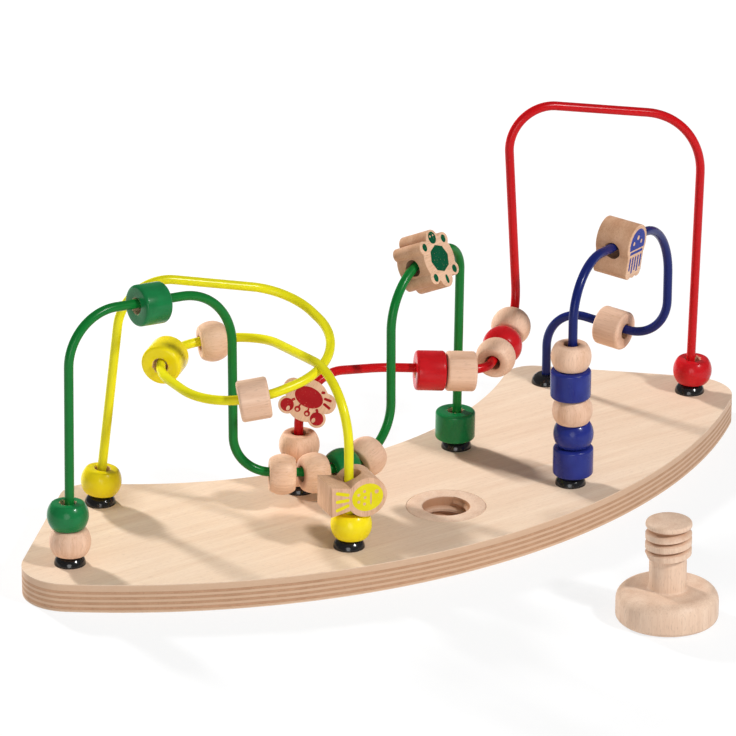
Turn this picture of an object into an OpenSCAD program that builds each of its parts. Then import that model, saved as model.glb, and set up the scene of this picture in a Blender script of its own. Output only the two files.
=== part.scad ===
// Bead maze on a curved plywood base, clamped to a tray by a wooden hand screw from below.
// Millimetres. The origin is on the axis of the screw hole, at the underside of the base. X runs along
// the base, Y towards its hollow rear edge and Z up.

/* [Base board] */
// Radius of the long front edge
board_outer_r = 330; // [315:1:345]
// Width from the front edge to the hollow rear edge
board_w = 126; // [118:1:134]
// Angle from the middle of the base to each end
board_half_angle = 44.5; // [42:0.5:46]
// Thickness of the plywood
board_t = 15; // [12:0.5:20]
// Radius of the two front corners
front_corner_r = 25; // [12:1:30]
// Radius of the two rear corners
rear_corner_r = 16; // [8:1:24]
// Width of the eased edge all round
board_edge = 1.5; // [0.5:0.1:3]
// How far a corner's circle runs past the edges, so that it meets them cleanly
corner_poke = 0.15; // [0.05:0.05:0.3]

/* [Insert and hand screw] */
// Distance of the screw hole from the front edge
screw_from_front = 47; // [42:1:52]
// Outer diameter of the threaded insert
insert_d = 41; // [34:0.5:46]
// Diameter of the hole in the insert
insert_bore = 24; // [20:0.5:28]
// Diameter of the screw's head
screw_head_d = 51; // [44:0.5:56]
// Thickness of the screw's head
screw_head_t = 16; // [12:0.5:20]
// Rounding of the head's upper edge
screw_head_round = 6; // [3:0.5:7]
// Rounding of the head's lower edge
screw_foot_round = 2.5; // [1:0.5:4]
// Diameter of the plain neck
screw_neck_d = 18.6; // [15:0.2:20]
// Length of the plain neck
screw_neck_len = 14; // [8:0.5:20]
// Diameter over the thread
screw_thread_d = 23; // [20.5:0.1:23.4]
// Length of the threaded stretch
screw_thread_len = 22; // [14:0.5:30]
// Chamfer at the tip
screw_tip = 1.6; // [0.5:0.1:2.5]
// Distance of the loose screw in front of the hole
screw_stand_front = 146; // [135:1:170]
// Distance of the loose screw to the right of the hole
screw_stand_right = 29; // [0:1:60]

/* [Wires] */
// Diameter of the coated wire
wire_d = 4.8; // [4:0.1:5.4]
// Depth of the wire ends in the board
socket_depth = 9; // [6:0.5:11]
// Step in radius where a straight enters a bend, so that the two join cleanly
seam_step = 0.05; // [0.04:0.01:0.1]
// Length by which a straight runs into a bend
seam_run = 0.8; // [0.5:0.1:1]
// Height of the green wire's first arch over the board
green_wire_h = 131; // [122:1:140]
// Usual bend radius of the green wire
green_bend_r = 28; // [24:0.5:30]
// Height of the yellow wire over the board
yellow_wire_h = 124; // [118:1:134]
// Usual bend radius of the yellow wire
yellow_bend_r = 30; // [26:0.5:32]
// Height of the red wire's tall arch over the board
red_wire_h = 178; // [168:1:190]
// Usual bend radius of the red wire
red_bend_r = 30; // [26:0.5:33]
// Height of the blue wire over the board
blue_wire_h = 120; // [114:1:130]
// Usual bend radius of the blue wire
blue_bend_r = 28; // [24:0.5:31]
// Room between the beads in the green dip and those on the red foot behind it
dip_clear = 9.2; // [6:0.1:11]
// Room between the drums on the red run and the green foot behind them
run_clear = 10; // [7:0.5:12]
// Height at which the red wire's low bend starts over the two balls on its foot
red_low_clear = 3.6; // [2.5:0.1:6]

/* [Wire caps] */
// Diameter of a cap on the board
cap_d = 16; // [14:0.5:18]
// Diameter of its flat top
cap_top_d = 10; // [9:0.5:12]
// Height of a cap over the board
cap_h = 5; // [3.5:0.1:6]
// Diameter of the sleeve in the board
sleeve_d = 8; // [7:0.1:9]

/* [Beads] */
// Diameter of a ball
ball_d = 21; // [19:0.5:22]
// Length of a ball along the wire
ball_len = 13.5; // [11:0.5:14.5]
// Diameter of a drum
drum_d = 21; // [19:0.5:22]
// Length of a drum along the wire
drum_len = 15.5; // [13:0.5:17]
// Rounding of a drum's edges
drum_round = 1.6; // [0.6:0.1:3]
// Bore of balls and drums
bead_bore = 8; // [7.4:0.1:9]

/* [Figures] */
// Thickness of the four figures
figure_t = 19; // [16:0.5:21]
// Bore through a figure
figure_bore = 9; // [8.6:0.1:9.6]
// Length of the turtle, nose to tail
turtle_len = 31; // [27:0.5:34]
// Width of the turtle, along the wire
turtle_w = 24; // [21:0.5:25]
// Width of the crab, claw to claw
crab_w = 29; // [26:0.5:31]
// Height of the crab, along the wire
crab_h = 22; // [20:0.5:23]
// Length of the fish, nose to tail
fish_len = 30; // [27:0.5:33]
// Height of the fish, along the wire
fish_h = 21; // [18:0.5:23]
// Height of the jellyfish
jelly_h = 29; // [26:0.5:32]
// Width of the jellyfish, along the wire
jelly_w = 21; // [19:0.5:24]

/* [Clearances] */
// Gap between glued or pressed pieces
fit_gap = 0.1; // [0.05:0.01:0.2]
// Gap where a bead hangs on its wire
hang_gap = 0.35; // [0.3:0.05:0.5]
// Gap between stacked beads
stack_gap = 0.3; // [0.2:0.05:0.6]

/* [Hidden] */
$fn = 64;
// One overrun serves all cuts
over = 1;
up = [0, 0, 1];
down = [0, 0, -1];
beech = [0.87, 0.72, 0.55];
green = [0.02, 0.36, 0.14];
yellow = [0.95, 0.82, 0.05];
red = [0.74, 0.03, 0.07];
blue = [0.08, 0.14, 0.48];
black = [0.03, 0.03, 0.03];

board_inner_r = board_outer_r - board_w;
screw_line_r = board_outer_r - screw_from_front;

// Places on the board: shares of the half angle, and shares of the way from the rear to the front edge
function spot(angle_share, across_share) =
    let (
        a = angle_share * board_half_angle,
        r = board_inner_r + across_share * board_w
    )
    [r * sin(a), screw_line_r - r * cos(a)];

outer_row_share = 0.797;
inner_row_share = 0.193;
green_far_share = 0.898;
red_far_share = 0.91;
red_row_share = 0.812;
outer_near_share = 0.298;
inner_far_share = 0.872;
inner_near_share = 0.285;

// The eight sockets, named by their wire's end
SOCKETS = [
    ["cap_green_left", spot(-green_far_share, outer_row_share)],
    ["cap_green_right", spot(inner_near_share, inner_row_share)],
    ["cap_yellow_rear", spot(-inner_far_share, inner_row_share)],
    ["cap_yellow_front", spot(-outer_near_share, outer_row_share)],
    ["cap_red_left", spot(-inner_near_share, inner_row_share)],
    ["cap_red_right", spot(red_far_share, red_row_share)],
    ["cap_blue_front", spot(outer_near_share, outer_row_share)],
    ["cap_blue_rear", spot(inner_far_share, inner_row_share)]
];

// Lengths of the beads that are stacked on a foot, from the board up
blue_stack = [drum_len, ball_len, ball_len, drum_len, ball_len];
two_balls = [ball_len, ball_len];
ball_and_fish = [ball_len, fish_h];
two_balls_and_crab = [ball_len, ball_len, crab_h];

// Some corners keep their distance from the inner row of sockets, to leave room for the beads that pass there
function ahead_share(distance) = inner_row_share + distance / board_w;
function dip_share(share) = ahead_share(share * (ball_d + dip_clear));
run_row_share = ahead_share((drum_d + wire_d) / 2 + run_clear);
// The red wire's low corners follow the height of the beads on its left foot
red_low_reach_share = 0.953;
red_low_h = stack_height(two_balls, 1) + ball_len / 2 + red_low_clear + red_low_reach_share * red_bend_r;
function red_low_share(share) = share * red_low_h / red_wire_h;

// Corners of the bent wires: angle share, across share, height share, bend radius as a share of the wire's
// usual one, and the length of straight wire that a bead needs after the corner. A leaning wire leaves its
// cap upright and starts to lean just above it.
green_route_shares = [
    [-green_far_share, outer_row_share, 0, 0, 0],
    [-green_far_share, outer_row_share, 0.042, 2, 0],
    [-0.892, 0.755, 1, 0.95, 0],
    [-0.504, dip_share(0.642), 0.94, 1.15, 0],
    [-0.504, dip_share(0.642), 0.178, 0.72, 0],
    [-0.268, dip_share(1), 0.16, 2, 0],
    [-0.035, dip_share(0.497), 0.145, 0.95, 0],
    [-0.035, dip_share(0.497), 0.875, 1.1, 0],
    [0.296, 0.195, 0.88, 0.53, 0],
    [inner_near_share, inner_row_share, 0.042, 2, 0],
    [inner_near_share, inner_row_share, 0, 0, 0]
];
yellow_route_shares = [
    [-inner_far_share, inner_row_share, 0, 0, 0],
    [-inner_far_share, inner_row_share, 0.065, 2, 0],
    [-0.793, 0.17, 1, 0.83, 0],
    [-0.274, 0.062, 0.84, 0.93, 0],
    [-0.213, 0.56, 0.71, 1.26, 0],
    [-0.571, 0.71, 0.593, 1.26, 0],
    [-0.772, 0.103, 0.625, 1.05, 0],
    [-0.375, -0.028, 0.642, 1, 0],
    [-outer_near_share, outer_row_share, 0.734, 1.13, 0],
    [-outer_near_share, outer_row_share, 0, 0, 0]
];
red_route_shares = [
    [-inner_near_share, inner_row_share, 0, 0, 0],
    [-inner_near_share, inner_row_share, red_low_share(1), 0.8, 0],
    [0.029, 0.123, red_low_share(0.838), 1, 0],
    [0.276, run_row_share, red_low_share(0.78), 0.4, 0],
    [0.581, 0.211, red_low_share(0.879), 0.67, 0],
    [0.551, 0.175, 1, 0.73, 0],
    [0.893, 0.845, 0.893, 1.26, 0],
    [red_far_share, red_row_share, 0.034, 2, 0],
    [red_far_share, red_row_share, 0, 0, 0]
];
blue_route_shares = [
    [outer_near_share, outer_row_share, 0, 0, 0],
    [outer_near_share, outer_row_share, 1, 1, 0],
    [0.778, 0.764, 0.91, 1.2, 0],
    [0.778, 0.764, 0.331, 0.8, drum_len + stack_gap],
    [inner_far_share, inner_row_share, 0.375, 0.8, 0],
    [inner_far_share, inner_row_share, 0, 0, 0]
];

// A wire is a list of its corner points and of its bend radii
function unit(v) = v / norm(v);
function turn_between(a, b) = acos(min(1, max(-1, unit(a) * unit(b))));
function corner_points(rows, height) = [
    for (i = [0 : len(rows) - 1])
        let (
            p = spot(rows[i][0], rows[i][1]),
            foot = i == 0 || i == len(rows) - 1
        )
        [p[0], p[1], board_t + (foot ? -socket_depth : rows[i][2] * height)]
];
// A bend is kept to what its two straights have room for
straight_share = 0.98;
function wanted_reach(p, radii, i) =
    i == 0 || i == len(p) - 1 ? 0 : radii[i] * tan(turn_between(p[i] - p[i - 1], p[i + 1] - p[i]) / 2);
function room(p, radii, kept, i) =
    let (
        length = norm(p[i + 1] - p[i]),
        wanted = wanted_reach(p, radii, i) + wanted_reach(p, radii, i + 1)
    )
    min(1, min(straight_share * length, length - kept[i]) / wanted);
function bends(p, radii, kept) = [
    for (i = [0 : len(p) - 1])
        i == 0 || i == len(p) - 1 ? 0 : radii[i] * min(room(p, radii, kept, i - 1), room(p, radii, kept, i))
];
function make_wire(rows, height, bend_r) =
    let (p = corner_points(rows, height))
    [p, bends(p, [for (row = rows) row[3] * bend_r], [for (row = rows) row[4]])];
// The same wire, followed from its other end
function from_end(w) = [
    [for (i = [len(w[0]) - 1 : -1 : 0]) w[0][i]],
    [for (i = [len(w[1]) - 1 : -1 : 0]) w[1][i]]
];

green_wire = make_wire(green_route_shares, green_wire_h, green_bend_r);
yellow_wire = make_wire(yellow_route_shares, yellow_wire_h, yellow_bend_r);
red_wire = make_wire(red_route_shares, red_wire_h, red_bend_r);
blue_wire = make_wire(blue_route_shares, blue_wire_h, blue_bend_r);

// Straight i runs from corner i towards corner i + 1, and bend i rounds corner i
function corners(w) = len(w[0]);
function heading(w, i) = unit(w[0][i + 1] - w[0][i]);
function turn(w, i) = turn_between(heading(w, i - 1), heading(w, i));
function reach(w, i) = i == 0 || i == corners(w) - 1 ? 0 : w[1][i] * tan(turn(w, i) / 2);
function straight_start(w, i) = w[0][i] + heading(w, i) * reach(w, i);
function straight_end(w, i) = w[0][i + 1] - heading(w, i) * reach(w, i + 1);
function bend_axis(w, i) = unit(cross(heading(w, i - 1), heading(w, i)));
function bend_centre(w, i) =
    straight_end(w, i - 1) + w[1][i] * cross(bend_axis(w, i), heading(w, i - 1));
function bend_frame(w, i) = frame(
    -cross(bend_axis(w, i), heading(w, i - 1)), heading(w, i - 1), bend_axis(w, i), bend_centre(w, i)
);
function frame(x, y, z, p) = [
    [x[0], y[0], z[0], p[0]],
    [x[1], y[1], z[1], p[1]],
    [x[2], y[2], z[2], p[2]],
    [0, 0, 0, 1]
];

// A bead's frame has Z along the wire and X the way that the bead falls, at right angles to the wire
function fall_dir(along, fall) = unit(fall - (fall * along) * along);
function bead_frame(p, along, fall, drop) =
    let (x = fall_dir(along, fall))
    frame(x, cross(along, x), along, p + drop * x);
function hang(bore) = (bore - wire_d) / 2 - hang_gap;
// On straight i, at a share of its length
function on_straight(w, i, at_share, fall = down, bore = bead_bore) =
    let (a = straight_start(w, i), b = straight_end(w, i))
    bead_frame(a + at_share * (b - a), heading(w, i), fall, hang(bore));
// On bend i, at a share of its turn. The bore is straight, so it is set halfway into the wire's curve.
function bow(w, i, length) = length * length / (8 * w[1][i]) / 2;
function on_bend(w, i, at_share, length, fall = down, bore = bead_bore) =
    let (
        a = at_share * turn(w, i),
        start = -cross(bend_axis(w, i), heading(w, i - 1)),
        outward = start * cos(a) + heading(w, i - 1) * sin(a),
        along = heading(w, i - 1) * cos(a) - start * sin(a),
        p = bend_centre(w, i) + (w[1][i] - bow(w, i, length)) * outward
    )
    bead_frame(p, along, fall, hang(bore) - bow(w, i, length));
// At a station, which is a length along the wire from the end of its foot
function straight_length(w, i) = norm(straight_end(w, i) - straight_start(w, i));
function bend_length(w, i) = w[1][i] * turn(w, i) * PI / 180;
function straight_station(w, i) = i == 0 ? 0 : bend_station(w, i) + bend_length(w, i);
function bend_station(w, i) = straight_station(w, i - 1) + straight_length(w, i - 1);
function along_bend(w, i, at_share) = bend_station(w, i) + at_share * bend_length(w, i);
function straight_after(w, s, i = 0) =
    i == corners(w) - 2 || s <= bend_station(w, i + 1) ? i : straight_after(w, s, i + 1);
function on_wire(w, s, length, fall = down, bore = bead_bore) =
    let (i = straight_after(w, s))
    s < straight_station(w, i)
        ? on_bend(w, i, (s - bend_station(w, i)) / bend_length(w, i), length, fall, bore)
        : on_straight(w, i, (s - straight_station(w, i)) / straight_length(w, i), fall, bore);
// Middle height of bead k in a stack on a foot. Where the wire leans, the lowest bead tips on its cap.
function stack_height(lengths, k) =
    k == 0
        ? cap_h + stack_gap + lengths[0] / 2
        : stack_height(lengths, k - 1) + (lengths[k - 1] + lengths[k]) / 2 + stack_gap;
function lean_lift(w, r) = r * norm([heading(w, 1)[0], heading(w, 1)[1]]);
function on_stack(w, lengths, k, fall, lift = 0, bore = bead_bore) =
    on_wire(w, socket_depth + stack_height(lengths, k) + lift, lengths[k], fall, bore);
// Length of wire that a ball takes up on bend i, where the balls' inner rims meet
ball_rim_r = sqrt(ball_d * ball_d - ball_len * ball_len) / 2;
function ball_space(w, i) =
    let (inner_r = w[1][i] - ball_rim_r - hang(bead_bore))
    w[1][i] * 2 * atan((ball_len + stack_gap) / 2 / inner_r) * PI / 180;
// Length of wire that stays free between two beads of radius r before and after bend i
function corner_space(w, i, r) = bend_length(w, i) + 2 * (r - w[1][i]) * tan(turn(w, i) / 2);

// The ways in which beads lean on an upright wire
lean_left = [-1, -0.3, 0];
lean_front = [-0.4, -1, 0];
lean_right = [1, -0.2, 0];
fish_nose = [0.98, -0.21, 0];
turtle_roll = [0, -0.45, -0.9];
crab_roll = [0.58, -0.65, -0.5];
jelly_roll = [0, 0.1, -1];

// The straights and bends that carry beads away from the feet
green_arch = 2;
green_dip = 5;
green_dip_end = 6;
green_top_bend = 7;
yellow_loop_front = 5;
yellow_loop_left = 6;
yellow_loop_rear = 7;
red_trio = 3;
red_rise = 4;
blue_top_run = 1;
blue_low_run = 3;
// Where on them the beads rest
arch_drum_share = 0.5;
dip_ball_share = 0.365;
dip_end_share = 0.2;
turtle_share = 1;
loop_wood_drum_share = 0.27;
loop_drum_share = 0.5;
loop_ball_share = 0.11;
crab_lift_share = 0.284;
run_end_share = 0.4;
trio_share = 0.606;
rise_ball_share = 0.2;
jelly_share = 0.45;
low_drum_share = 0.33;

green_end = from_end(green_wire);
yellow_end = from_end(yellow_wire);
red_end = from_end(red_wire);

// Beads in a row keep their own length of wire from each other
dip_space = ball_space(green_wire, green_dip);
dip_second = along_bend(green_wire, green_dip, dip_ball_share);
dip_first = dip_second - dip_space;
dip_third = dip_second + dip_space;
dip_fourth = max(along_bend(green_wire, green_dip_end, dip_end_share), dip_third + dip_space);
crab_station = socket_depth + stack_height(two_balls_and_crab, 2) + crab_lift_share * crab_h;
run_second = bend_station(red_wire, red_trio) - run_end_share * drum_len;
run_first = run_second - drum_len - 2 * stack_gap;
trio_first = max(
    straight_station(red_wire, red_trio) + trio_share * ball_len,
    run_second + (drum_len + ball_len) / 2 + corner_space(red_wire, red_trio, drum_d / 2)
);
trio_second = trio_first + ball_len + stack_gap;
trio_third = max(
    along_bend(red_wire, red_rise, rise_ball_share),
    trio_second + (ball_len + stack_gap + ball_space(red_wire, red_rise)) / 2
);

// Every loose piece: name, shape, colour and frame
BEADS = [
    ["green_foot_wood_ball", "ball", beech,
        on_stack(green_wire, two_balls, 0, lean_front, lean_lift(green_wire, ball_rim_r))],
    ["green_foot_ball", "ball", green,
        on_stack(green_wire, two_balls, 1, lean_left, lean_lift(green_wire, ball_rim_r))],
    ["green_arch_drum", "drum", green, on_straight(green_wire, green_arch, arch_drum_share)],
    ["green_dip_wood_ball_a", "ball", beech, on_wire(green_wire, dip_first, ball_len)],
    ["green_dip_wood_ball_b", "ball", beech, on_wire(green_wire, dip_second, ball_len)],
    ["green_dip_ball", "ball", green, on_wire(green_wire, dip_third, ball_len)],
    ["green_dip_wood_ball_c", "ball", beech, on_wire(green_wire, dip_fourth, ball_len)],
    ["turtle", "turtle", beech,
        on_bend(green_wire, green_top_bend, turtle_share, turtle_w, turtle_roll, figure_bore)],
    ["green_right_drum", "drum", green,
        on_stack(green_end, [drum_len], 0, lean_left, lean_lift(green_end, drum_d / 2))],
    ["yellow_rear_ball", "ball", yellow,
        on_stack(yellow_wire, [ball_len], 0, lean_front, lean_lift(yellow_wire, ball_rim_r))],
    ["yellow_loop_wood_drum", "drum", beech,
        on_bend(yellow_wire, yellow_loop_front, loop_wood_drum_share, drum_len)],
    ["yellow_loop_drum", "drum", yellow, on_bend(yellow_wire, yellow_loop_left, loop_drum_share, drum_len)],
    ["yellow_loop_wood_ball", "ball", beech,
        on_bend(yellow_wire, yellow_loop_rear, loop_ball_share, ball_len)],
    ["yellow_front_ball", "ball", yellow, on_stack(yellow_end, ball_and_fish, 0, lean_right)],
    ["fish", "fish", beech, on_stack(yellow_end, ball_and_fish, 1, fish_nose, 0, figure_bore)],
    ["red_left_wood_ball_a", "ball", beech, on_stack(red_wire, two_balls, 0, lean_left)],
    ["red_left_wood_ball_b", "ball", beech, on_stack(red_wire, two_balls, 1, lean_front)],
    ["crab", "crab", beech, on_wire(red_wire, crab_station, crab_h, crab_roll, figure_bore)],
    ["red_run_drum", "drum", red, on_wire(red_wire, run_first, drum_len)],
    ["red_run_wood_drum", "drum", beech, on_wire(red_wire, run_second, drum_len)],
    ["red_bend_wood_ball_a", "ball", beech, on_wire(red_wire, trio_first, ball_len)],
    ["red_bend_ball", "ball", red, on_wire(red_wire, trio_second, ball_len)],
    ["red_bend_wood_ball_b", "ball", beech, on_wire(red_wire, trio_third, ball_len)],
    ["red_right_ball", "ball", red,
        on_stack(red_end, [ball_len], 0, lean_right, lean_lift(red_end, ball_rim_r))],
    ["blue_stack_drum_a", "drum", blue, on_stack(blue_wire, blue_stack, 0, lean_right)],
    ["blue_stack_ball", "ball", blue, on_stack(blue_wire, blue_stack, 1, lean_right)],
    ["blue_stack_wood_ball_a", "ball", beech, on_stack(blue_wire, blue_stack, 2, lean_front)],
    ["blue_stack_drum_b", "drum", blue, on_stack(blue_wire, blue_stack, 3, lean_left)],
    ["blue_stack_wood_ball_b", "ball", beech, on_stack(blue_wire, blue_stack, 4, lean_left)],
    ["jellyfish", "jellyfish", beech,
        on_straight(blue_wire, blue_top_run, jelly_share, jelly_roll, figure_bore)],
    ["blue_low_wood_drum", "drum", beech, on_straight(blue_wire, blue_low_run, low_drum_share)]
];

// A disc of the board's thickness with eased edges
module eased_disc(r) {
    rotate_extrude($fn = 180)
        polygon([
            [0, 0],
            [r - board_edge, 0],
            [r, board_edge],
            [r, board_t - board_edge],
            [r - board_edge, board_t],
            [0, board_t]
        ]);
}

// The hollow rear edge, with its own eased edges
module hollow_edge(r) {
    flare = board_edge + over;
    rotate_extrude($fn = 180)
        polygon([
            [0, -over],
            [r + flare, -over],
            [r, board_edge],
            [r, board_t - board_edge],
            [r + flare, board_t + over],
            [0, board_t + over]
        ]);
}

// All that lies inside one end of the board, seen from the middle of its arcs
module inside_end() {
    rotate([0, 0, board_half_angle - 90])
        translate([-board_outer_r, 0, 0])
            rotate([90, 0, 90])
                linear_extrude(3 * board_outer_r)
                    polygon([
                        [-2 * board_outer_r, 0],
                        [-board_edge, 0],
                        [0, board_edge],
                        [0, board_t - board_edge],
                        [-board_edge, board_t],
                        [-2 * board_outer_r, board_t]
                    ]);
}

// What a corner loses: side is 1 at the front and -1 at the rear
module corner_waste(edge_r, corner_r, side) {
    inset = corner_r - corner_poke;
    mid_r = edge_r - side * inset;
    mid_a = board_half_angle - asin(inset / mid_r);
    tip_r = sqrt(mid_r * mid_r - inset * inset);
    past_a = board_half_angle + asin(inset / mid_r);
    far_r = edge_r + side * corner_r;
    difference() {
        translate([0, 0, -over])
            linear_extrude(board_t + 2 * over)
                polygon([
                    ray(mid_r, mid_a), ray(far_r, mid_a), ray(far_r, past_a), ray(tip_r, past_a),
                    ray(tip_r, board_half_angle)
                ]);
        translate(ray(mid_r, mid_a)) eased_disc(corner_r);
    }
}
function ray(r, a) = [r * sin(a), -r * cos(a)];

module board_blank() {
    translate([0, screw_line_r, 0])
        difference() {
            intersection() {
                eased_disc(board_outer_r);
                inside_end();
                mirror([1, 0, 0]) inside_end();
            }
            hollow_edge(board_inner_r);
            for (m = [0, 1]) mirror([m, 0, 0]) {
                corner_waste(board_outer_r, front_corner_r, 1);
                corner_waste(board_inner_r, rear_corner_r, -1);
            }
        }
}

module base_board() {
    color(beech)
        difference() {
            board_blank();
            translate([0, 0, -over]) cylinder(d = insert_d + 2 * fit_gap, h = board_t + 2 * over);
            for (s = SOCKETS)
                translate([s[1][0], s[1][1], board_t - socket_depth - fit_gap])
                    cylinder(d = sleeve_d + 2 * fit_gap, h = socket_depth + fit_gap + over);
        }
}

// A turned bush, flush with both faces of the board. Its thread is drawn as its plain inner diameter.
module threaded_insert() {
    color(beech)
        difference() {
            cylinder(d = insert_d, h = board_t);
            translate([0, 0, -over]) cylinder(d = insert_bore, h = board_t + 2 * over);
        }
}

// The screw stands on its head. Its thread is drawn as its plain outer diameter.
module hand_screw() {
    head_r = screw_head_d / 2;
    neck_top = screw_head_t + screw_neck_len;
    tip_z = neck_top + screw_thread_len;
    color(beech)
        translate([screw_stand_right, -screw_stand_front, 0]) {
            rotate_extrude() screw_head_profile(head_r);
            cylinder(d = screw_neck_d, h = neck_top);
            translate([0, 0, neck_top])
                cylinder(d = screw_thread_d, h = screw_thread_len - screw_tip);
            translate([0, 0, tip_z - screw_tip])
                cylinder(d1 = screw_thread_d, d2 = screw_thread_d - 2 * screw_tip, h = screw_tip);
        }
}

module screw_head_profile(r) {
    square([r - screw_head_round, screw_head_t]);
    translate([0, screw_foot_round]) square([r, screw_head_t - screw_head_round - screw_foot_round]);
    square([r - screw_foot_round, screw_head_t - screw_head_round]);
    translate([r - screw_head_round, screw_head_t - screw_head_round]) circle(screw_head_round);
    translate([r - screw_foot_round, screw_foot_round]) circle(screw_foot_round);
}

// A low dome with a flat top, and a sleeve that grips the wire in the board
module wire_cap(place) {
    top_r = cap_top_d / 2;
    base_r = cap_d / 2;
    centre_z = (top_r * top_r + cap_h * cap_h - base_r * base_r) / (2 * cap_h);
    dome_r = norm([base_r, centre_z]);
    color(black)
        translate([place[0], place[1], board_t])
            difference() {
                union() {
                    intersection() {
                        translate([0, 0, centre_z]) sphere(dome_r);
                        cylinder(r = base_r + over, h = cap_h);
                    }
                    translate([0, 0, -socket_depth]) cylinder(d = sleeve_d, h = socket_depth + cap_h / 2);
                }
                translate([0, 0, -socket_depth - over])
                    cylinder(d = wire_d + 2 * fit_gap, h = socket_depth + cap_h + 2 * over);
            }
}

// A bent wire: straights between round bends
module bent_wire(w, tint) {
    last = corners(w) - 2;
    color(tint) {
        for (i = [0 : last]) {
            length = norm(straight_end(w, i) - straight_start(w, i));
            into_first = i == 0 ? 0 : seam_run;
            into_last = i == last ? 0 : seam_run;
            multmatrix(bead_frame(straight_start(w, i), heading(w, i), side_of(heading(w, i)), 0))
                translate([0, 0, -into_first])
                    cylinder(d = wire_d, h = length + into_first + into_last);
        }
        for (i = [1 : last])
            multmatrix(bend_frame(w, i))
                rotate_extrude(angle = turn(w, i))
                    translate([w[1][i], 0])
                        circle(d = wire_d + 2 * seam_step);
    }
}
// Any direction that isn't along the wire
steep_share = 0.9;
function side_of(along) = abs(along[2]) > steep_share ? [1, 0, 0] : up;

module wire_green() { bent_wire(green_wire, green); }
module wire_yellow() { bent_wire(yellow_wire, yellow); }
module wire_red() { bent_wire(red_wire, red); }
module wire_blue() { bent_wire(blue_wire, blue); }

// A turned ball with flat ends
module ball() {
    difference() {
        intersection() {
            sphere(d = ball_d);
            cylinder(d = ball_d + over, h = ball_len, center = true);
        }
        cylinder(d = bead_bore, h = ball_len + 2 * over, center = true);
    }
}

// A turned drum with rounded edges
module drum() {
    r = drum_d / 2;
    rotate_extrude()
        difference() {
            union() {
                translate([0, -drum_len / 2]) square([r - drum_round, drum_len]);
                translate([0, drum_round - drum_len / 2]) square([r, drum_len - 2 * drum_round]);
                for (side = [-1, 1])
                    translate([r - drum_round, side * (drum_len / 2 - drum_round)]) circle(drum_round);
            }
            translate([-over, -drum_len / 2 - over]) square([bead_bore / 2 + over, drum_len + 2 * over]);
        }
}

// A figure sawn from a thick board: its outline has X as the way that it hangs and Y along the wire
module figure(along) {
    difference() {
        rotate([90, 0, 0]) linear_extrude(figure_t, center = true) children();
        cylinder(d = figure_bore, h = along + 2 * over, center = true);
    }
}

turtle_shell_share = 0.5;
turtle_fin_share = 0.15;
turtle_fin_shares = [0.26, 0.35];
turtle_head_share = 0.15;
module turtle() {
    figure(turtle_w) {
        circle(turtle_shell_share * turtle_w);
        for (sx = [-1, 1], sy = [-1, 1])
            translate([sx * turtle_fin_shares[0] * turtle_len, sy * turtle_fin_shares[1] * turtle_w])
                circle(turtle_fin_share * turtle_w);
        for (sx = [-1, 1])
            translate([sx * (0.5 - turtle_head_share) * turtle_len, 0])
                circle(turtle_head_share * turtle_len);
    }
}

crab_shell_share = 0.5;
crab_claw_share = 0.21;
crab_claw_shares = [0.29, 0.29];
crab_side_share = 0.24;
module crab() {
    figure(crab_h) {
        circle(crab_shell_share * crab_h);
        for (sx = [-1, 1]) {
            translate([sx * crab_claw_shares[0] * crab_w, -crab_claw_shares[1] * crab_h])
                circle(crab_claw_share * crab_h);
            translate([sx * (crab_w / 2 - crab_side_share * crab_h), crab_side_share * crab_h / 2])
                circle(crab_side_share * crab_h);
        }
    }
}

fish_body_share = 0.72;
fish_tail_shares = [0.2, 0.38];
module fish() {
    body_len = fish_body_share * fish_len;
    arc_r = (body_len * body_len + fish_h * fish_h) / (4 * fish_h);
    nose_x = fish_len / 2;
    figure(fish_h) {
        translate([nose_x - body_len / 2, 0])
            intersection() {
                translate([0, fish_h / 2 - arc_r]) circle(arc_r);
                translate([0, arc_r - fish_h / 2]) circle(arc_r);
            }
        polygon([
            [nose_x - body_len / 2, -fish_tail_shares[0] * fish_h],
            [nose_x - body_len / 2, fish_tail_shares[0] * fish_h],
            [-nose_x, fish_tail_shares[1] * fish_h],
            [-nose_x, -fish_tail_shares[1] * fish_h]
        ]);
    }
}

jelly_waist_share = 0.42;
jelly_lobe_share = 0.17;
module jellyfish() {
    dome_r = jelly_w / 2;
    lobe_r = jelly_lobe_share * jelly_w;
    waist_r = jelly_waist_share * jelly_w;
    lobe_x = jelly_h / 2 - lobe_r;
    figure(jelly_w) {
        translate([dome_r - jelly_h / 2, 0]) circle(dome_r);
        translate([dome_r - jelly_h / 2, -waist_r]) square([lobe_x - dome_r + jelly_h / 2, 2 * waist_r]);
        for (k = [-1 : 1])
            translate([lobe_x, k * (waist_r - lobe_r)]) circle(lobe_r);
    }
}

module bead(row) {
    color(row[2])
        multmatrix(row[3]) {
            if (row[1] == "ball") ball();
            if (row[1] == "drum") drum();
            if (row[1] == "turtle") turtle();
            if (row[1] == "crab") crab();
            if (row[1] == "fish") fish();
            if (row[1] == "jellyfish") jellyfish();
        }
}

base_board();
threaded_insert();
hand_screw();
for (s = SOCKETS) wire_cap(s[1]);
wire_green();
wire_yellow();
wire_red();
wire_blue();
for (b = BEADS) bead(b);
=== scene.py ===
# %% [markdown]
# # A bead maze on a plywood base
# This toy is a curved plywood board with four bent wires on it. Wooden beads and four flat sea animals slide along
# the wires, and a wooden hand screw beside it clamps the board to a tray. The imported CAD model is the frame: every
# piece made here rides on one of its bodies, and all but the prints take the place of one of its nodes. The first
# cell loads the frame.

# %% Load the frame
import math

import bmesh
import bpy
import numpy as np
from mathutils import Matrix, Vector


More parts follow.
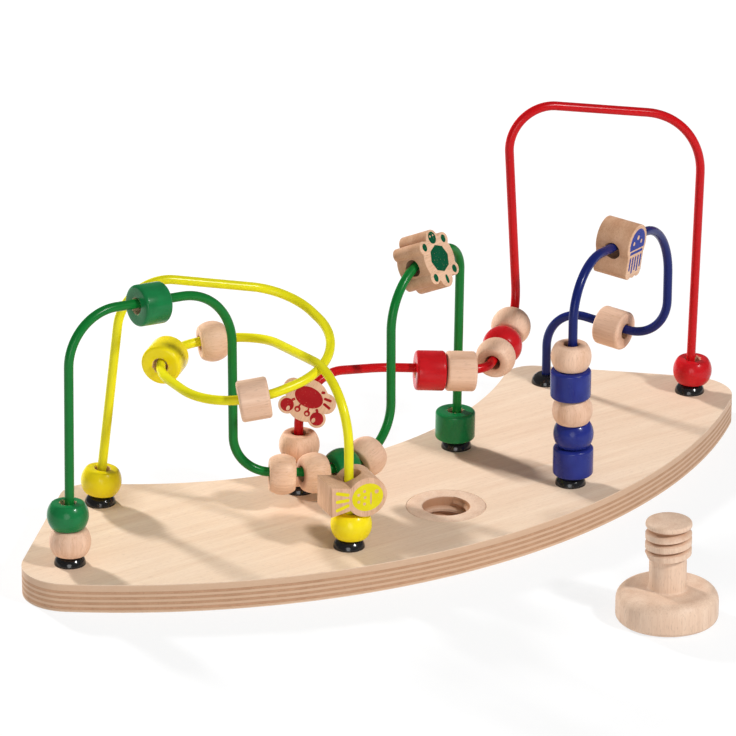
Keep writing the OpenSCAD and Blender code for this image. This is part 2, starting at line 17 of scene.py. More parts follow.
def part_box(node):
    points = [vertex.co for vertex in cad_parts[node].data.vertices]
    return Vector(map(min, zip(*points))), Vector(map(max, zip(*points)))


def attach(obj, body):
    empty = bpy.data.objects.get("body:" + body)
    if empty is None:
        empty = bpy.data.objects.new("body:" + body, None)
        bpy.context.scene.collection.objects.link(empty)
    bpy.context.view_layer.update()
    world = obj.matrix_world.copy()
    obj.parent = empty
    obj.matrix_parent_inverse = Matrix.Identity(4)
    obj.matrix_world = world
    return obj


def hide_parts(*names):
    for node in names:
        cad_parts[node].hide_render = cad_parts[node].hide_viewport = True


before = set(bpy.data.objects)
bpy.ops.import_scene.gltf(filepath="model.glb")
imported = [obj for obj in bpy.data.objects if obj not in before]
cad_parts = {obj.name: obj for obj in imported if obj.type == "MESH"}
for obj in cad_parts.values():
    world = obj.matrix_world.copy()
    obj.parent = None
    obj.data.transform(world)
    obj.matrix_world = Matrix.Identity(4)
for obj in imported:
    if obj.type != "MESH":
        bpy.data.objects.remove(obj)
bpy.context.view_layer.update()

MM = 0.001
UP = Vector((0, 0, 1))

# %% [markdown]
# ## The camera
# The photograph was taken from the front left and a little above, with a long lens. A short lens close by could
# frame the object as well, but it would spread the wires, which are nearly parallel there. So the camera stands far
# off with a long lens. It looks straight along its own axis, so it needs no shift, and other views can move it
# freely.

# %% Make the camera
EYE = (-1.3444, -1.8502, 1.0140)
LOOK = Vector((0.53189, 0.75961, -0.37428))
LENS = 238.1
SENSOR = 36
NEAREST = 0.05
FARTHEST = 50

camera_data = bpy.data.cameras.new("camera")
camera_data.lens = LENS
camera_data.sensor_width = SENSOR
camera_data.clip_start = NEAREST
camera_data.clip_end = FARTHEST
camera = bpy.data.objects.new("camera", camera_data)
camera.location = EYE
camera.rotation_mode = "QUATERNION"
camera.rotation_quaternion = LOOK.to_track_quat("-Z", "Y")
bpy.context.scene.collection.objects.link(camera)
bpy.context.scene.camera = camera
bpy.context.scene.view_settings.view_transform = "Standard"
print("camera", round(Vector(EYE).length, 3), "m from the screw hole, lens", LENS)

# %% [markdown]
# ## Node helpers
# Every finish below is a small node tree. It could be put together by hand in the shader editor, but a script can
# be read and run again. These helpers add a node and feed its inputs, each with a constant or from another node, so
# that a material reads as a short list of steps.

# %% Helpers for node trees
def feed(tree, node, inputs):
    """Sets inputs of a node: a socket is linked, and anything else becomes the input's constant."""
    for key, value in inputs.items():
        if isinstance(value, bpy.types.NodeSocket):
            tree.links.new(value, node.inputs[key])
        else:
            node.inputs[key].default_value = value


def add_node(tree, kind, inputs=None, **settings):
    node = tree.nodes.new(kind)
    for key, value in settings.items():
        setattr(node, key, value)
    feed(tree, node, inputs or {})
    return node


def blend_colours(tree, share, first, second):
    """Mixes two colours. A Mix node has several sockets A, B and Result; 6, 7 and 2 are those for colours."""
    return add_node(tree, "ShaderNodeMix", {0: share, 6: first, 7: second}, data_type="RGBA").outputs[2]


def calculate(tree, operation, first, second=0.0):
    return add_node(tree, "ShaderNodeMath", {0: first, 1: second}, operation=operation).outputs[0]


def remap(tree, value, low, high, to_low=0.0, to_high=1.0):
    ends = {"From Min": low, "From Max": high, "To Min": to_low, "To Max": to_high}
    return add_node(tree, "ShaderNodeMapRange", {"Value": value, **ends}).outputs["Result"]


def noise(tree, place, scales, detail):
    stretched = add_node(tree, "ShaderNodeVectorMath", {0: place, 1: scales}, operation="MULTIPLY").outputs[0]
    settings = {"Vector": stretched, "Scale": 1.0, "Detail": detail}
    return add_node(tree, "ShaderNodeTexNoise", settings).outputs["Fac"]


def new_group(name, inputs, outputs):
    tree = bpy.data.node_groups.new(name, "ShaderNodeTree")
    for way, sockets in (("INPUT", inputs), ("OUTPUT", outputs)):
        for label, kind in sockets.items():
            tree.interface.new_socket(name=label, in_out=way, socket_type="NodeSocket" + kind)
    return tree, tree.nodes.new("NodeGroupInput").outputs, tree.nodes.new("NodeGroupOutput").inputs


print("node helpers ready")

# %% [markdown]
# ## Beech grain, shared by all bare wood
# Beech is a plain, pale, pinkish wood. Close up it shows soft bands along the grain and thousands of short dark
# flecks. A picture of wood would have to be wrapped round every bead, and its seams would show. So the group is a
# solid block of wood instead: it takes a place in millimetres, with the grain along Z. One wide noise gives the
# bands, a narrower one the streaks, and a fine one, cut off sharply, the flecks. Cut across, the same block gives
# end grain by itself, so a turned bead is right on its side and on its ends.

# %% The beech grain group
NOISE_SPAN = (0.3, 0.7)
BAND_SCALES = (0.16, 0.16, 0.012)
STREAK_SCALES = (1.1, 1.1, 0.05)
FLECK_SCALES = (2.4, 2.4, 0.30)
BAND_SHARE = 0.6
STREAK_SHARE = 0.4
TONE_SPAN = (0.34, 0.66)
FLECK_SPAN = (0.60, 0.72)
FLECK_CORE = (0.16, 0.07, 0.03, 1)
FLECK_DEPTH = 0.55
WOOD_SHINE = (0.42, 0.56)


def make_beech_grain():
    tree, given, put = new_group(
        "beech_grain",
        {"Place": "Vector", "Pale": "Color", "Dark": "Color", "Fleck": "Float"},
        {"Color": "Color", "Shine": "Float", "Height": "Float"})
    bands = noise(tree, given["Place"], BAND_SCALES, 3.0)
    streaks = noise(tree, given["Place"], STREAK_SCALES, 3.0)
    flecks = remap(tree, noise(tree, given["Place"], FLECK_SCALES, 1.0), *FLECK_SPAN)
    tone = calculate(tree, "ADD", calculate(tree, "MULTIPLY", bands, BAND_SHARE),
                     calculate(tree, "MULTIPLY", streaks, STREAK_SHARE))
    wood = blend_colours(tree, remap(tree, tone, *TONE_SPAN), given["Pale"], given["Dark"])
    fleck_share = calculate(tree, "MULTIPLY", flecks, given["Fleck"])
    fleck_tone = blend_colours(tree, FLECK_DEPTH, given["Dark"], FLECK_CORE)
    tree.links.new(blend_colours(tree, fleck_share, wood, fleck_tone), put["Color"])
    tree.links.new(remap(tree, streaks, *NOISE_SPAN, *WOOD_SHINE), put["Shine"])
    tree.links.new(calculate(tree, "SUBTRACT", streaks, flecks), put["Height"])
    return tree


beech_grain = make_beech_grain()
print("group", beech_grain.name, "with", len(beech_grain.nodes), "nodes")

# %% [markdown]
# ## Wear and ripple, shared by all coats
# Paint on a bead is thin where children's fingers and the wire rub it: next to the bore. The first group mixes the
# paint with the wood below it there, broken up by noise. The second is the slight ripple that dipped paint, coated
# wire and moulded plastic all have. An even coat would reflect like glass, and the ripple makes the reflection
# waver. Several finishes need them, so each is a group that is built once.

# %% The wear group and the ripple group
CLOUD_SCALES = (0.12, 0.12, 0.12)
SPECK_SCALES = (1.3, 1.3, 1.3)
FINE_SCALES = (0.7, 0.7, 0.7)
BARE_SPAN = (0.36, 0.46)
PAINT_SHINE = (0.2, 0.3)
BARE_DULL = 0.3
FINE_SHARE = 0.03


def make_rubbed_paint():
    tree, given, put = new_group(
        "rubbed_paint",
        {"Place": "Vector", "Paint": "Color", "Deep": "Color", "Wood": "Color", "Rub": "Float"},
        {"Color": "Color", "Shine": "Float"})
    cloud = noise(tree, given["Place"], CLOUD_SCALES, 2.0)
    coat = blend_colours(tree, remap(tree, cloud, *NOISE_SPAN), given["Paint"], given["Deep"])
    specks = noise(tree, given["Place"], SPECK_SCALES, 3.0)
    bare = remap(tree, calculate(tree, "MULTIPLY", given["Rub"], specks), *BARE_SPAN)
    shine = remap(tree, cloud, *NOISE_SPAN, *PAINT_SHINE)
    tree.links.new(blend_colours(tree, bare, coat, given["Wood"]), put["Color"])
    tree.links.new(calculate(tree, "ADD", shine, calculate(tree, "MULTIPLY", bare, BARE_DULL)), put["Shine"])
    return tree


def make_coat_ripple():
    tree, given, put = new_group("coat_ripple", {"Place": "Vector"}, {"Shine": "Float", "Height": "Float"})
    wide = noise(tree, given["Place"], CLOUD_SCALES, 1.0)
    fine = noise(tree, given["Place"], FINE_SCALES, 2.0)
    tree.links.new(remap(tree, wide, *NOISE_SPAN), put["Shine"])
    tree.links.new(calculate(tree, "ADD", wide, calculate(tree, "MULTIPLY", fine, FINE_SHARE)), put["Height"])
    return tree


rubbed_paint = make_rubbed_paint()
coat_ripple = make_coat_ripple()
print("groups", rubbed_paint.name, "and", coat_ripple.name)

# %% [markdown]
# ## Bare wood
# The plain beads, the animals, the insert and the screw are bare beech, each kind in its own tone. All beads sit at
# the origin as objects, and with Object coordinates they would share one block of wood. So a bead's own place is
# stored on its mesh in an attribute, in millimetres from the bead's middle with Z along the bore. The insert and
# the screw are alone in their block and read Object coordinates. A second attribute says where worn paint gives way
# to the wood, and where bare wood is browner. On the animals' sawn sides that brown is their own colour, and in the
# bores and thread grooves it is painted shade. Each finish is one Principled shader with the shared groups in front
# of it.

# %% Bare wood, for beads, figures and the screw
WOOD_PALE = (0.86, 0.590, 0.430, 1)
WOOD_DARK = (0.70, 0.425, 0.280, 1)
FIGURE_PALE = (0.81, 0.530, 0.355, 1)
FIGURE_DARK = (0.62, 0.355, 0.215, 1)
SCREW_PALE = (0.84, 0.630, 0.480, 1)
SCREW_DARK = (0.71, 0.485, 0.345, 1)
# Painted shade in bores and thread grooves, and the sawn sides' own brown: both mix bare wood toward this colour.
BROWNING_AND_SHADE = (0.32, 0.120, 0.036, 1)
BROWNING_AND_SHADE_SHARE = 0.75
WOOD_GLOSS = 0.28


def new_finish(name):
    finish = bpy.data.materials.new(name)
    finish.use_nodes = True
    tree = finish.node_tree
    tree.nodes.clear()
    shader = add_node(tree, "ShaderNodeBsdfPrincipled")
    add_node(tree, "ShaderNodeOutputMaterial", {"Surface": shader.outputs[0]})
    return finish, tree, shader


def place_group(tree, group, place, **values):
    return add_node(tree, "ShaderNodeGroup", {"Place": place, **values}, node_tree=group).outputs


def bump(tree, shader, height, strength, distance):
    relief = add_node(tree, "ShaderNodeBump", {"Height": height, "Strength": strength, "Distance": distance})
    feed(tree, shader, {"Normal": relief.outputs[0]})


def own_place(tree):
    return add_node(tree, "ShaderNodeAttribute", attribute_name="own_place").outputs["Vector"]


# Wear on paint, and on bare wood a darker brown: the sawn sides' own colour, or painted shade in bores and grooves.
def own_wear_and_shade(tree):
    return add_node(tree, "ShaderNodeAttribute", attribute_name="wear_and_shade").outputs["Fac"]


def object_place(tree, turn=(0, 0, 0)):
    coordinates = add_node(tree, "ShaderNodeTexCoord").outputs["Object"]
    settings = {"Vector": coordinates, "Rotation": turn, "Scale": (1 / MM,) * 3}
    return add_node(tree, "ShaderNodeMapping", settings).outputs[0]


def bare_wood(name, pale, dark, fleck, place_from):
    finish, tree, shader = new_finish(name)
    grain = place_group(tree, beech_grain, place_from(tree), Pale=pale, Dark=dark, Fleck=fleck)
    # Darker brown where the attribute asks: painted shade in bores and grooves, the sawn sides' own colour
    # elsewhere.
    browning_and_shade = calculate(tree, "MULTIPLY", own_wear_and_shade(tree), BROWNING_AND_SHADE_SHARE)
    feed(tree, shader, {
        "Base Color": blend_colours(tree, browning_and_shade, grain["Color"], BROWNING_AND_SHADE),
        "Roughness": grain["Shine"],
        "Specular IOR Level": WOOD_GLOSS,
    })
    bump(tree, shader, grain["Height"], strength=0.12, distance=0.0002)
    return finish


finishes = {
    "turned_beech": bare_wood("turned_beech", WOOD_PALE, WOOD_DARK, 0.35, own_place),
    "figure_beech": bare_wood("figure_beech", FIGURE_PALE, FIGURE_DARK, 0.45, own_place),
    "screw_beech": bare_wood("screw_beech", SCREW_PALE, SCREW_DARK, 0.4, object_place),
}
print("finishes", ", ".join(finishes))

# %% [markdown]
# ## Paint, coated wire and black plastic
# The coloured beads are dipped in gloss paint and the animals are printed with flat ink. The wires have a smooth
# coloured coat, and the caps are moulded in black plastic. That could be thirteen materials made one by one. But
# ink is paint with less gloss, and the wires' coat and the plastic differ only in tint and shine, so two functions
# make them all. Each paint has a second, deeper tone, so that no bead is one flat colour.

# %% Gloss paints, coated wires and black plastic
PAINTS = {
    "green": ((0.010, 0.195, 0.055, 1), (0.006, 0.150, 0.040, 1)),
    "yellow": ((0.920, 0.760, 0.010, 1), (0.850, 0.670, 0.006, 1)),
    "red": ((0.580, 0.010, 0.016, 1), (0.490, 0.006, 0.010, 1)),
    "blue": ((0.020, 0.032, 0.230, 1), (0.014, 0.022, 0.180, 1)),
}
WIRE_TINTS = {
    "green": (0.004, 0.170, 0.026, 1),
    "yellow": (0.830, 0.760, 0.010, 1),
    "red": (0.560, 0.004, 0.007, 1),
    "blue": (0.007, 0.015, 0.130, 1),
}
INKS = {
    "green": ((0.006, 0.095, 0.042, 1), (0.004, 0.070, 0.030, 1)),
    "yellow": ((0.780, 0.690, 0.020, 1), (0.700, 0.600, 0.012, 1)),
    "red": ((0.380, 0.010, 0.014, 1), (0.310, 0.006, 0.010, 1)),
    "blue": ((0.026, 0.046, 0.300, 1), (0.020, 0.036, 0.240, 1)),
}
BLACK = (0.008, 0.008, 0.009, 1)
DUST = (0.02, 0.02, 0.02, 1)
DUST_SHARE = 0.08
COAT_ROUGHNESS = 0.10


def gloss_paint(name, paint, deep, gloss, coat_weight):
    finish, tree, shader = new_finish(name)
    place = own_place(tree)
    coat = place_group(tree, rubbed_paint, place, Paint=paint, Deep=deep, Wood=WOOD_DARK, Rub=own_wear_and_shade(tree))
    ripple = place_group(tree, coat_ripple, place)
    feed(tree, shader, {
        "Base Color": coat["Color"],
        "Roughness": coat["Shine"],
        "Specular IOR Level": gloss,
        "Coat Weight": coat_weight,
        "Coat Roughness": COAT_ROUGHNESS,
    })
    bump(tree, shader, ripple["Height"], strength=0.15, distance=0.0004)
    return finish


def smooth_coat(name, tint, rough_low, rough_high, gloss):
    finish, tree, shader = new_finish(name)
    ripple = place_group(tree, coat_ripple, object_place(tree))
    dust = calculate(tree, "MULTIPLY", ripple["Shine"], DUST_SHARE)
    feed(tree, shader, {
        "Base Color": blend_colours(tree, dust, tint, DUST),
        "Roughness": remap(tree, ripple["Shine"], 0.0, 1.0, rough_low, rough_high),
        "Specular IOR Level": gloss,
    })
    bump(tree, shader, ripple["Height"], strength=0.06, distance=0.0003)
    return finish


for tint in PAINTS:
    paint, ink, wire = tint + "_paint", tint + "_ink", tint + "_wire"
    finishes[paint] = gloss_paint(paint, *PAINTS[tint], gloss=0.18, coat_weight=0.12)
    finishes[ink] = gloss_paint(ink, *INKS[tint], gloss=0.04, coat_weight=0.0)
    finishes[wire] = smooth_coat(wire, WIRE_TINTS[tint], rough_low=0.20, rough_high=0.28, gloss=0.2)
finishes["black_plastic"] = smooth_coat("black_plastic", BLACK, rough_low=0.10, rough_high=0.20, gloss=0.5)
print("finishes", ", ".join(sorted(finishes)))

# %% [markdown]
# ## Plywood
# The board is nine plies of beech, glued crosswise, with a thick one on top. Its faces show long grain and its cut
# edges show the plies as stripes: every other ply is cut across its fibres there and looks darker. Nine thin boards
# could be stacked, but one solid whose finish knows its height needs no joints between them. The ply's number comes
# from Z, and the thin dark glue lines lie where one ply ends. Odd plies take their grain across the board and even
# ones along it.

# %% The plywood finish
BOARD_T = 15
PLIES = 9
PLY_T = 1.41
PLY_PALE = (0.87, 0.685, 0.520, 1)
PLY_DARK = (0.780, 0.575, 0.415, 1)
CROSS_PALE = (0.58, 0.340, 0.208, 1)
CROSS_DARK = (0.47, 0.262, 0.152, 1)
CROSS_DULL = 0.15
SAWN = (0.58, 0.360, 0.225, 1)
SAWN_SHARE = 0.72
GLUE = (0.42, 0.245, 0.140, 1)
GLUE_SHARE = 0.55
GLUE_SPAN = (0.10, 0.02)
GLUE_DEPTH = 1.5
SKIN = 0.6
WAVER_SCALES = (0.03, 0.03, 0)
WAVER = 0.5


def make_plywood():
    finish, tree, shader = new_finish("plywood")
    along_board = object_place(tree, (0, math.radians(90), 0))
    across_board = object_place(tree, (math.radians(90), 0, 0))
    flat = object_place(tree)
    long_ply = place_group(tree, beech_grain, along_board, Pale=PLY_PALE, Dark=PLY_DARK, Fleck=0.28)
    cross_ply = place_group(tree, beech_grain, across_board, Pale=CROSS_PALE, Dark=CROSS_DARK, Fleck=0.6)
    height = add_node(tree, "ShaderNodeSeparateXYZ", {0: flat}).outputs["Z"]
    swing = calculate(tree, "SUBTRACT", noise(tree, flat, WAVER_SCALES, 2.0), 0.5)
    waver = calculate(tree, "MULTIPLY", swing, WAVER)
    above_face = remap(tree, height, 0, SKIN)
    below_face = remap(tree, height, BOARD_T, BOARD_T - SKIN)
    inside = calculate(tree, "MULTIPLY", above_face, below_face)
    level = calculate(tree, "ADD", height, calculate(tree, "MULTIPLY", waver, inside))
    plies = calculate(tree, "MINIMUM", calculate(tree, "DIVIDE", level, PLY_T), PLIES - 0.5)
    crosswise = calculate(tree, "MODULO", calculate(tree, "FLOOR", plies), 2)
    from_line = calculate(tree, "PINGPONG", plies, 0.5)
    glue = calculate(tree, "MULTIPLY", remap(tree, from_line, *GLUE_SPAN), remap(tree, inside, 0.5, 1.0))
    sawn = blend_colours(tree, calculate(tree, "MULTIPLY", inside, SAWN_SHARE), long_ply["Color"], SAWN)
    wood = blend_colours(tree, crosswise, sawn, cross_ply["Color"])
    dull = calculate(tree, "MULTIPLY", crosswise, CROSS_DULL)
    feed(tree, shader, {
        "Base Color": blend_colours(tree, calculate(tree, "MULTIPLY", glue, GLUE_SHARE), wood, GLUE),
        "Roughness": calculate(tree, "ADD", long_ply["Shine"], dull),
        "Specular IOR Level": WOOD_GLOSS,
    })
    groove = calculate(tree, "MULTIPLY", glue, GLUE_DEPTH)
    relief = calculate(tree, "SUBTRACT", long_ply["Height"], groove)
    bump(tree, shader, relief, strength=0.10, distance=0.0003)
    return finish


finishes["plywood"] = make_plywood()
print("plywood of", PLIES, "plies,", PLY_T, "mm each, and", round(BOARD_T - (PLIES - 1) * PLY_T, 2), "mm on top")

# %% [markdown]
# ## Turning on the lathe
# Balls, drums, caps, the insert and the screw are all round. Cylinders and spheres could be cut to shape, but a
# lathe gives each of them in one go: a half profile of a few vertices is spun once round the axis, its doubles are
# merged and its normals put right. Sharp corners are then eased with a bevel on the rings where a turner would
# break the edge. The last helper keeps a piece's own place on its mesh, with its wear and its painted shade, and
# sets the mesh in place.

# %% Helpers for turned pieces
SEGMENTS = 56
MERGE = 1e-4
RING_SLACK = 0.02
SEED_STEP = Vector((37.0, 23.0, 91.0))


def verts_in(geom):
    return [item for item in geom if isinstance(item, bmesh.types.BMVert)]


def profile(bm, points, closed=False):
    verts = [bm.verts.new((r, 0, z)) for r, z in points]
    for pair in zip(verts, verts[1:]):
        bm.edges.new(pair)
    if closed:
        bm.edges.new((verts[-1], verts[0]))
    return verts


def spin_round(bm, segments=SEGMENTS):
    bmesh.ops.spin(bm, geom=bm.verts[:] + bm.edges[:], cent=(0, 0, 0), axis=UP, dvec=(0, 0, 0),
                   angle=math.tau, steps=segments, use_merge=True, use_duplicate=False)
    bmesh.ops.remove_doubles(bm, verts=bm.verts[:], dist=MERGE)
    bmesh.ops.recalc_face_normals(bm, faces=bm.faces[:])


def ring(bm, radius, height):
    def on_ring(vert):
        return abs(vert.co.xy.length - radius) < RING_SLACK and abs(vert.co.z - height) < RING_SLACK
    return [edge for edge in bm.edges if on_ring(edge.verts[0]) and on_ring(edge.verts[1])]


def ease(bm, edges, width, segments=3):
    bmesh.ops.bevel(bm, geom=edges, offset=width, offset_type="OFFSET", affect="EDGES", segments=segments,
                    profile=0.5, material=-1, clamp_overlap=True)


def finish_piece(name, bm, place, finish, body, node=None, seed=0, wear_and_shade=None, sharp=40):
    """Keeps the own place and the wear and painted shade on the mesh, sets it in place in metres and lets it ride.
    """
    own = [vert.co.copy() for vert in bm.verts]
    worn_and_shaded = [wear_and_shade(co) if wear_and_shade else 0.0 for co in own]
    bmesh.ops.transform(bm, matrix=Matrix.Scale(MM, 4) @ place, verts=bm.verts[:])
    mesh = bpy.data.meshes.new(name)
    bm.to_mesh(mesh)
    bm.free()
    attribute = mesh.attributes.new("own_place", "FLOAT_VECTOR", "POINT")
    attribute.data.foreach_set("vector", [x for co in own for x in co + SEED_STEP * seed])
    attribute = mesh.attributes.new("wear_and_shade", "FLOAT", "POINT")
    attribute.data.foreach_set("value", worn_and_shaded)
    mesh.shade_smooth()
    mesh.set_sharp_from_angle(angle=math.radians(sharp))
    mesh.materials.append(finishes[finish])
    piece = bpy.data.objects.new(name, mesh)
    bpy.context.scene.collection.objects.link(piece)
    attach(piece, body)
    if node:
        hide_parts(node)
    return piece


print("lathe with", SEGMENTS, "segments")

# %% [markdown]
# ## Balls and drums
# A ball here is a sphere with its two ends cut flat where the wire goes through, and a drum is a short cylinder
# with soft edges. A hole cut through a sphere would leave ragged faces at its rim, so the ball is turned too. Its
# profile is an arc, made by spinning one vertex, with its ends led in to the bore. Both get a small countersunk
# ease at the bore, as drilled beads have. There the wire wears the paint off a painted bead, and a plain bead's
# wood is darker, which is painted shade in the bore.

# %% Profiles of a ball and a drum
BALL_R = 10.5
BALL_HALF = 6.75
DRUM_R = 10.5
DRUM_HALF = 7.75
DRUM_ROUND = 1.6
BORE_R = 4
BORE_EASE = 0.5
RIM_EASE = 0.7
ARC_STEPS = 18
# Near the bore: worn paint on painted beads, painted shade on plain wooden ones.
BORE_WEAR_AND_SHADE = 0.95
WEAR_AND_SHADE_REACH = 1.6


def turned_ball():
    bm = bmesh.new()
    rim_r = math.sqrt(BALL_R ** 2 - BALL_HALF ** 2)
    start = bm.verts.new((rim_r, 0, -BALL_HALF))
    sweep = 2 * math.asin(BALL_HALF / BALL_R)
    bmesh.ops.spin(bm, geom=[start], cent=(0, 0, 0), axis=(0, -1, 0), dvec=(0, 0, 0), angle=sweep,
                   steps=ARC_STEPS, use_merge=False, use_duplicate=False)
    high = max(bm.verts, key=lambda vert: vert.co.z)
    low = min(bm.verts, key=lambda vert: vert.co.z)
    bore = profile(bm, [(BORE_R, -BALL_HALF), (BORE_R, BALL_HALF)])
    bm.edges.new((low, bore[0]))
    bm.edges.new((high, bore[1]))
    spin_round(bm)
    for height in (-BALL_HALF, BALL_HALF):
        ease(bm, ring(bm, rim_r, height), RIM_EASE)
        ease(bm, ring(bm, BORE_R, height), BORE_EASE)
    return bm


def turned_drum():
    bm = bmesh.new()
    corners = [(BORE_R, -DRUM_HALF), (DRUM_R, -DRUM_HALF), (DRUM_R, DRUM_HALF), (BORE_R, DRUM_HALF)]
    profile(bm, corners, closed=True)
    spin_round(bm)
    for height in (-DRUM_HALF, DRUM_HALF):
        ease(bm, ring(bm, DRUM_R, height), DRUM_ROUND, 5)
        ease(bm, ring(bm, BORE_R, height), BORE_EASE)
    return bm


# Worn paint on a painted bead, painted shade on a plain one: strongest at the bore, gone within a reach of it.
def bore_wear_and_shade(co):
    return max(0.0, min(1.0, BORE_WEAR_AND_SHADE - (co.xy.length - BORE_R) / WEAR_AND_SHADE_REACH))


print("ball", 2 * BALL_R, "x", 2 * BALL_HALF, "mm, drum", 2 * DRUM_R, "x", 2 * DRUM_HALF, "mm")

# %% [markdown]
# ## Where the beads sit
# Each bead hangs on its wire, which goes through its bore. Its place is written as its middle in millimetres and
# the direction of its bore, because a turned piece needs no more than that. The places are the CAD model's own, and
# the cell checks that: it prints the largest distance between a new bead's box and the box of the node that it
# stands for. Each bead is rolled a little further round its bore than the last one, so that no two show the same
# side.

# %% Put the balls and drums on the wires
ROLL_STEP = 2.4
BEADS = {
    "green_foot_wood_ball": ("ball", "turned_beech", (-195.74, 48.68, 27.44), (0.0356, 0.0252, 0.999)),
    "green_foot_ball": ("ball", "green_paint", (-195.98, 49.83, 41.23), (0.0356, 0.0252, 0.999)),
    "green_arch_drum": ("drum", "green_paint", (-143.8, 53.42, 140.9), (0.9966, 0.0124, -0.0811)),
    "green_dip_wood_ball_a": ("ball", "turned_beech", (-73.12, 41.55, 35.84), (0.8627, -0.5033, -0.0495)),
    "green_dip_wood_ball_b": ("ball", "turned_beech", (-57.95, 35.12, 35.23), (0.965, -0.2575, -0.0494)),
    "green_dip_ball": ("ball", "green_paint", (-41.62, 33.38, 34.44), (0.9977, 0.0499, -0.0449)),
    "green_dip_wood_ball_c": ("ball", "turned_beech", (-24.46, 36.06, 35.72), (0.9407, 0.195, 0.2776)),
    "green_right_drum": ("drum", "green_paint", (49.07, 59.91, 28.26), (0.0178, 0.0017, 0.9998)),
    "yellow_rear_ball": ("ball", "yellow_paint", (-143, 103.65, 27.99), (0.11, -0.052, 0.9926)),
    "yellow_loop_wood_drum": ("drum", "turned_beech", (-104.19, 19.96, 91.71), (-0.8721, 0.4686, -0.141)),
    "yellow_loop_drum": ("drum", "yellow_paint", (-111.64, 90.24, 91.57), (0.7844, 0.6173, 0.0599)),
    "yellow_loop_wood_ball": ("ball", "turned_beech", (-80.03, 94.64, 93.09), (0.935, -0.3512, 0.0487)),
    "yellow_front_ball": ("ball", "yellow_paint", (-68.6, -13.55, 27.05), (0, 0, 1)),
    "red_left_wood_ball_a": ("ball", "turned_beech", (-51.32, 59.89, 27.05), (0, 0, 1)),
    "red_left_wood_ball_b": ("ball", "turned_beech", (-50.59, 59.09, 40.85), (0, 0, 1)),
    "red_run_drum": ("drum", "red_paint", (26.68, 51.89, 66.36), (0.8791, -0.4718, -0.0681)),
    "red_run_wood_drum": ("drum", "turned_beech", (40.84, 44.3, 65.26), (0.8791, -0.4718, -0.0681)),
    "red_bend_wood_ball_a": ("ball", "turned_beech", (66.11, 47.74, 66), (0.7743, 0.6239, 0.1054)),
    "red_bend_ball": ("ball", "red_paint", (76.8, 56.35, 67.46), (0.7743, 0.6239, 0.1054)),
    "red_bend_wood_ball_b": ("ball", "turned_beech", (90.72, 67.66, 71.46), (0.7037, 0.5853, 0.4027)),
    "red_right_ball": ("ball", "red_paint", (200.12, 49.58, 27.35), (-0.0028, -0.0379, 0.9993)),
    "blue_stack_drum_a": ("drum", "blue_paint", (71.06, -13.55, 28.05), (0, 0, 1)),
    "blue_stack_ball": ("ball", "blue_paint", (71.06, -13.55, 42.85), (0, 0, 1)),
    "blue_stack_wood_ball_a": ("ball", "turned_beech", (69.37, -14.47, 56.65), (0, 0, 1)),
    "blue_stack_drum_b": ("drum", "blue_paint", (68.63, -13.66, 71.45), (0, 0, 1)),
    "blue_stack_wood_ball_b": ("ball", "turned_beech", (68.63, -13.66, 86.25), (0, 0, 1)),
    "blue_low_wood_drum": ("drum", "turned_beech", (158.47, 66.39, 55.79), (-0.3687, 0.9268, 0.0708)),
}


def along(direction, middle):
    return Matrix.Translation(middle) @ Vector(direction).to_track_quat("Z", "Y").to_matrix().to_4x4()


def box_misfit(piece, node):
    low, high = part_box(node)
    corners = np.array([vert.co for vert in piece.data.vertices])
    return max(abs(corners.min(0) - np.array(low)).max(), abs(corners.max(0) - np.array(high)).max()) / MM


misfits = []
for seed, (node, (shape, finish, middle, bore)) in enumerate(BEADS.items(), 1):
    bm = turned_ball() if shape == "ball" else turned_drum()
    place = along(bore, middle) @ Matrix.Rotation(seed * ROLL_STEP, 4, "Z")
    piece = finish_piece("bead_" + node, bm, place, finish, node, node, seed, bore_wear_and_shade)
    misfits.append(box_misfit(piece, node))
print(len(BEADS), "beads, at most", round(max(misfits), 2), "mm off their nodes' boxes")

# %% [markdown]
# ## Bending the wires
# Each wire is a steel rod with a coloured coat, bent on a former: straight lengths with round bends between them. A
# curve with a round bevel would give a tube too, but its bends would not be true arcs. So the script bends the wire
# as its maker does. A circle starts at the foot, is extruded along each straight and spun round each bend, and the
# tube is smooth, with one loop of vertices from end to end. A row is a corner and its bend radius.

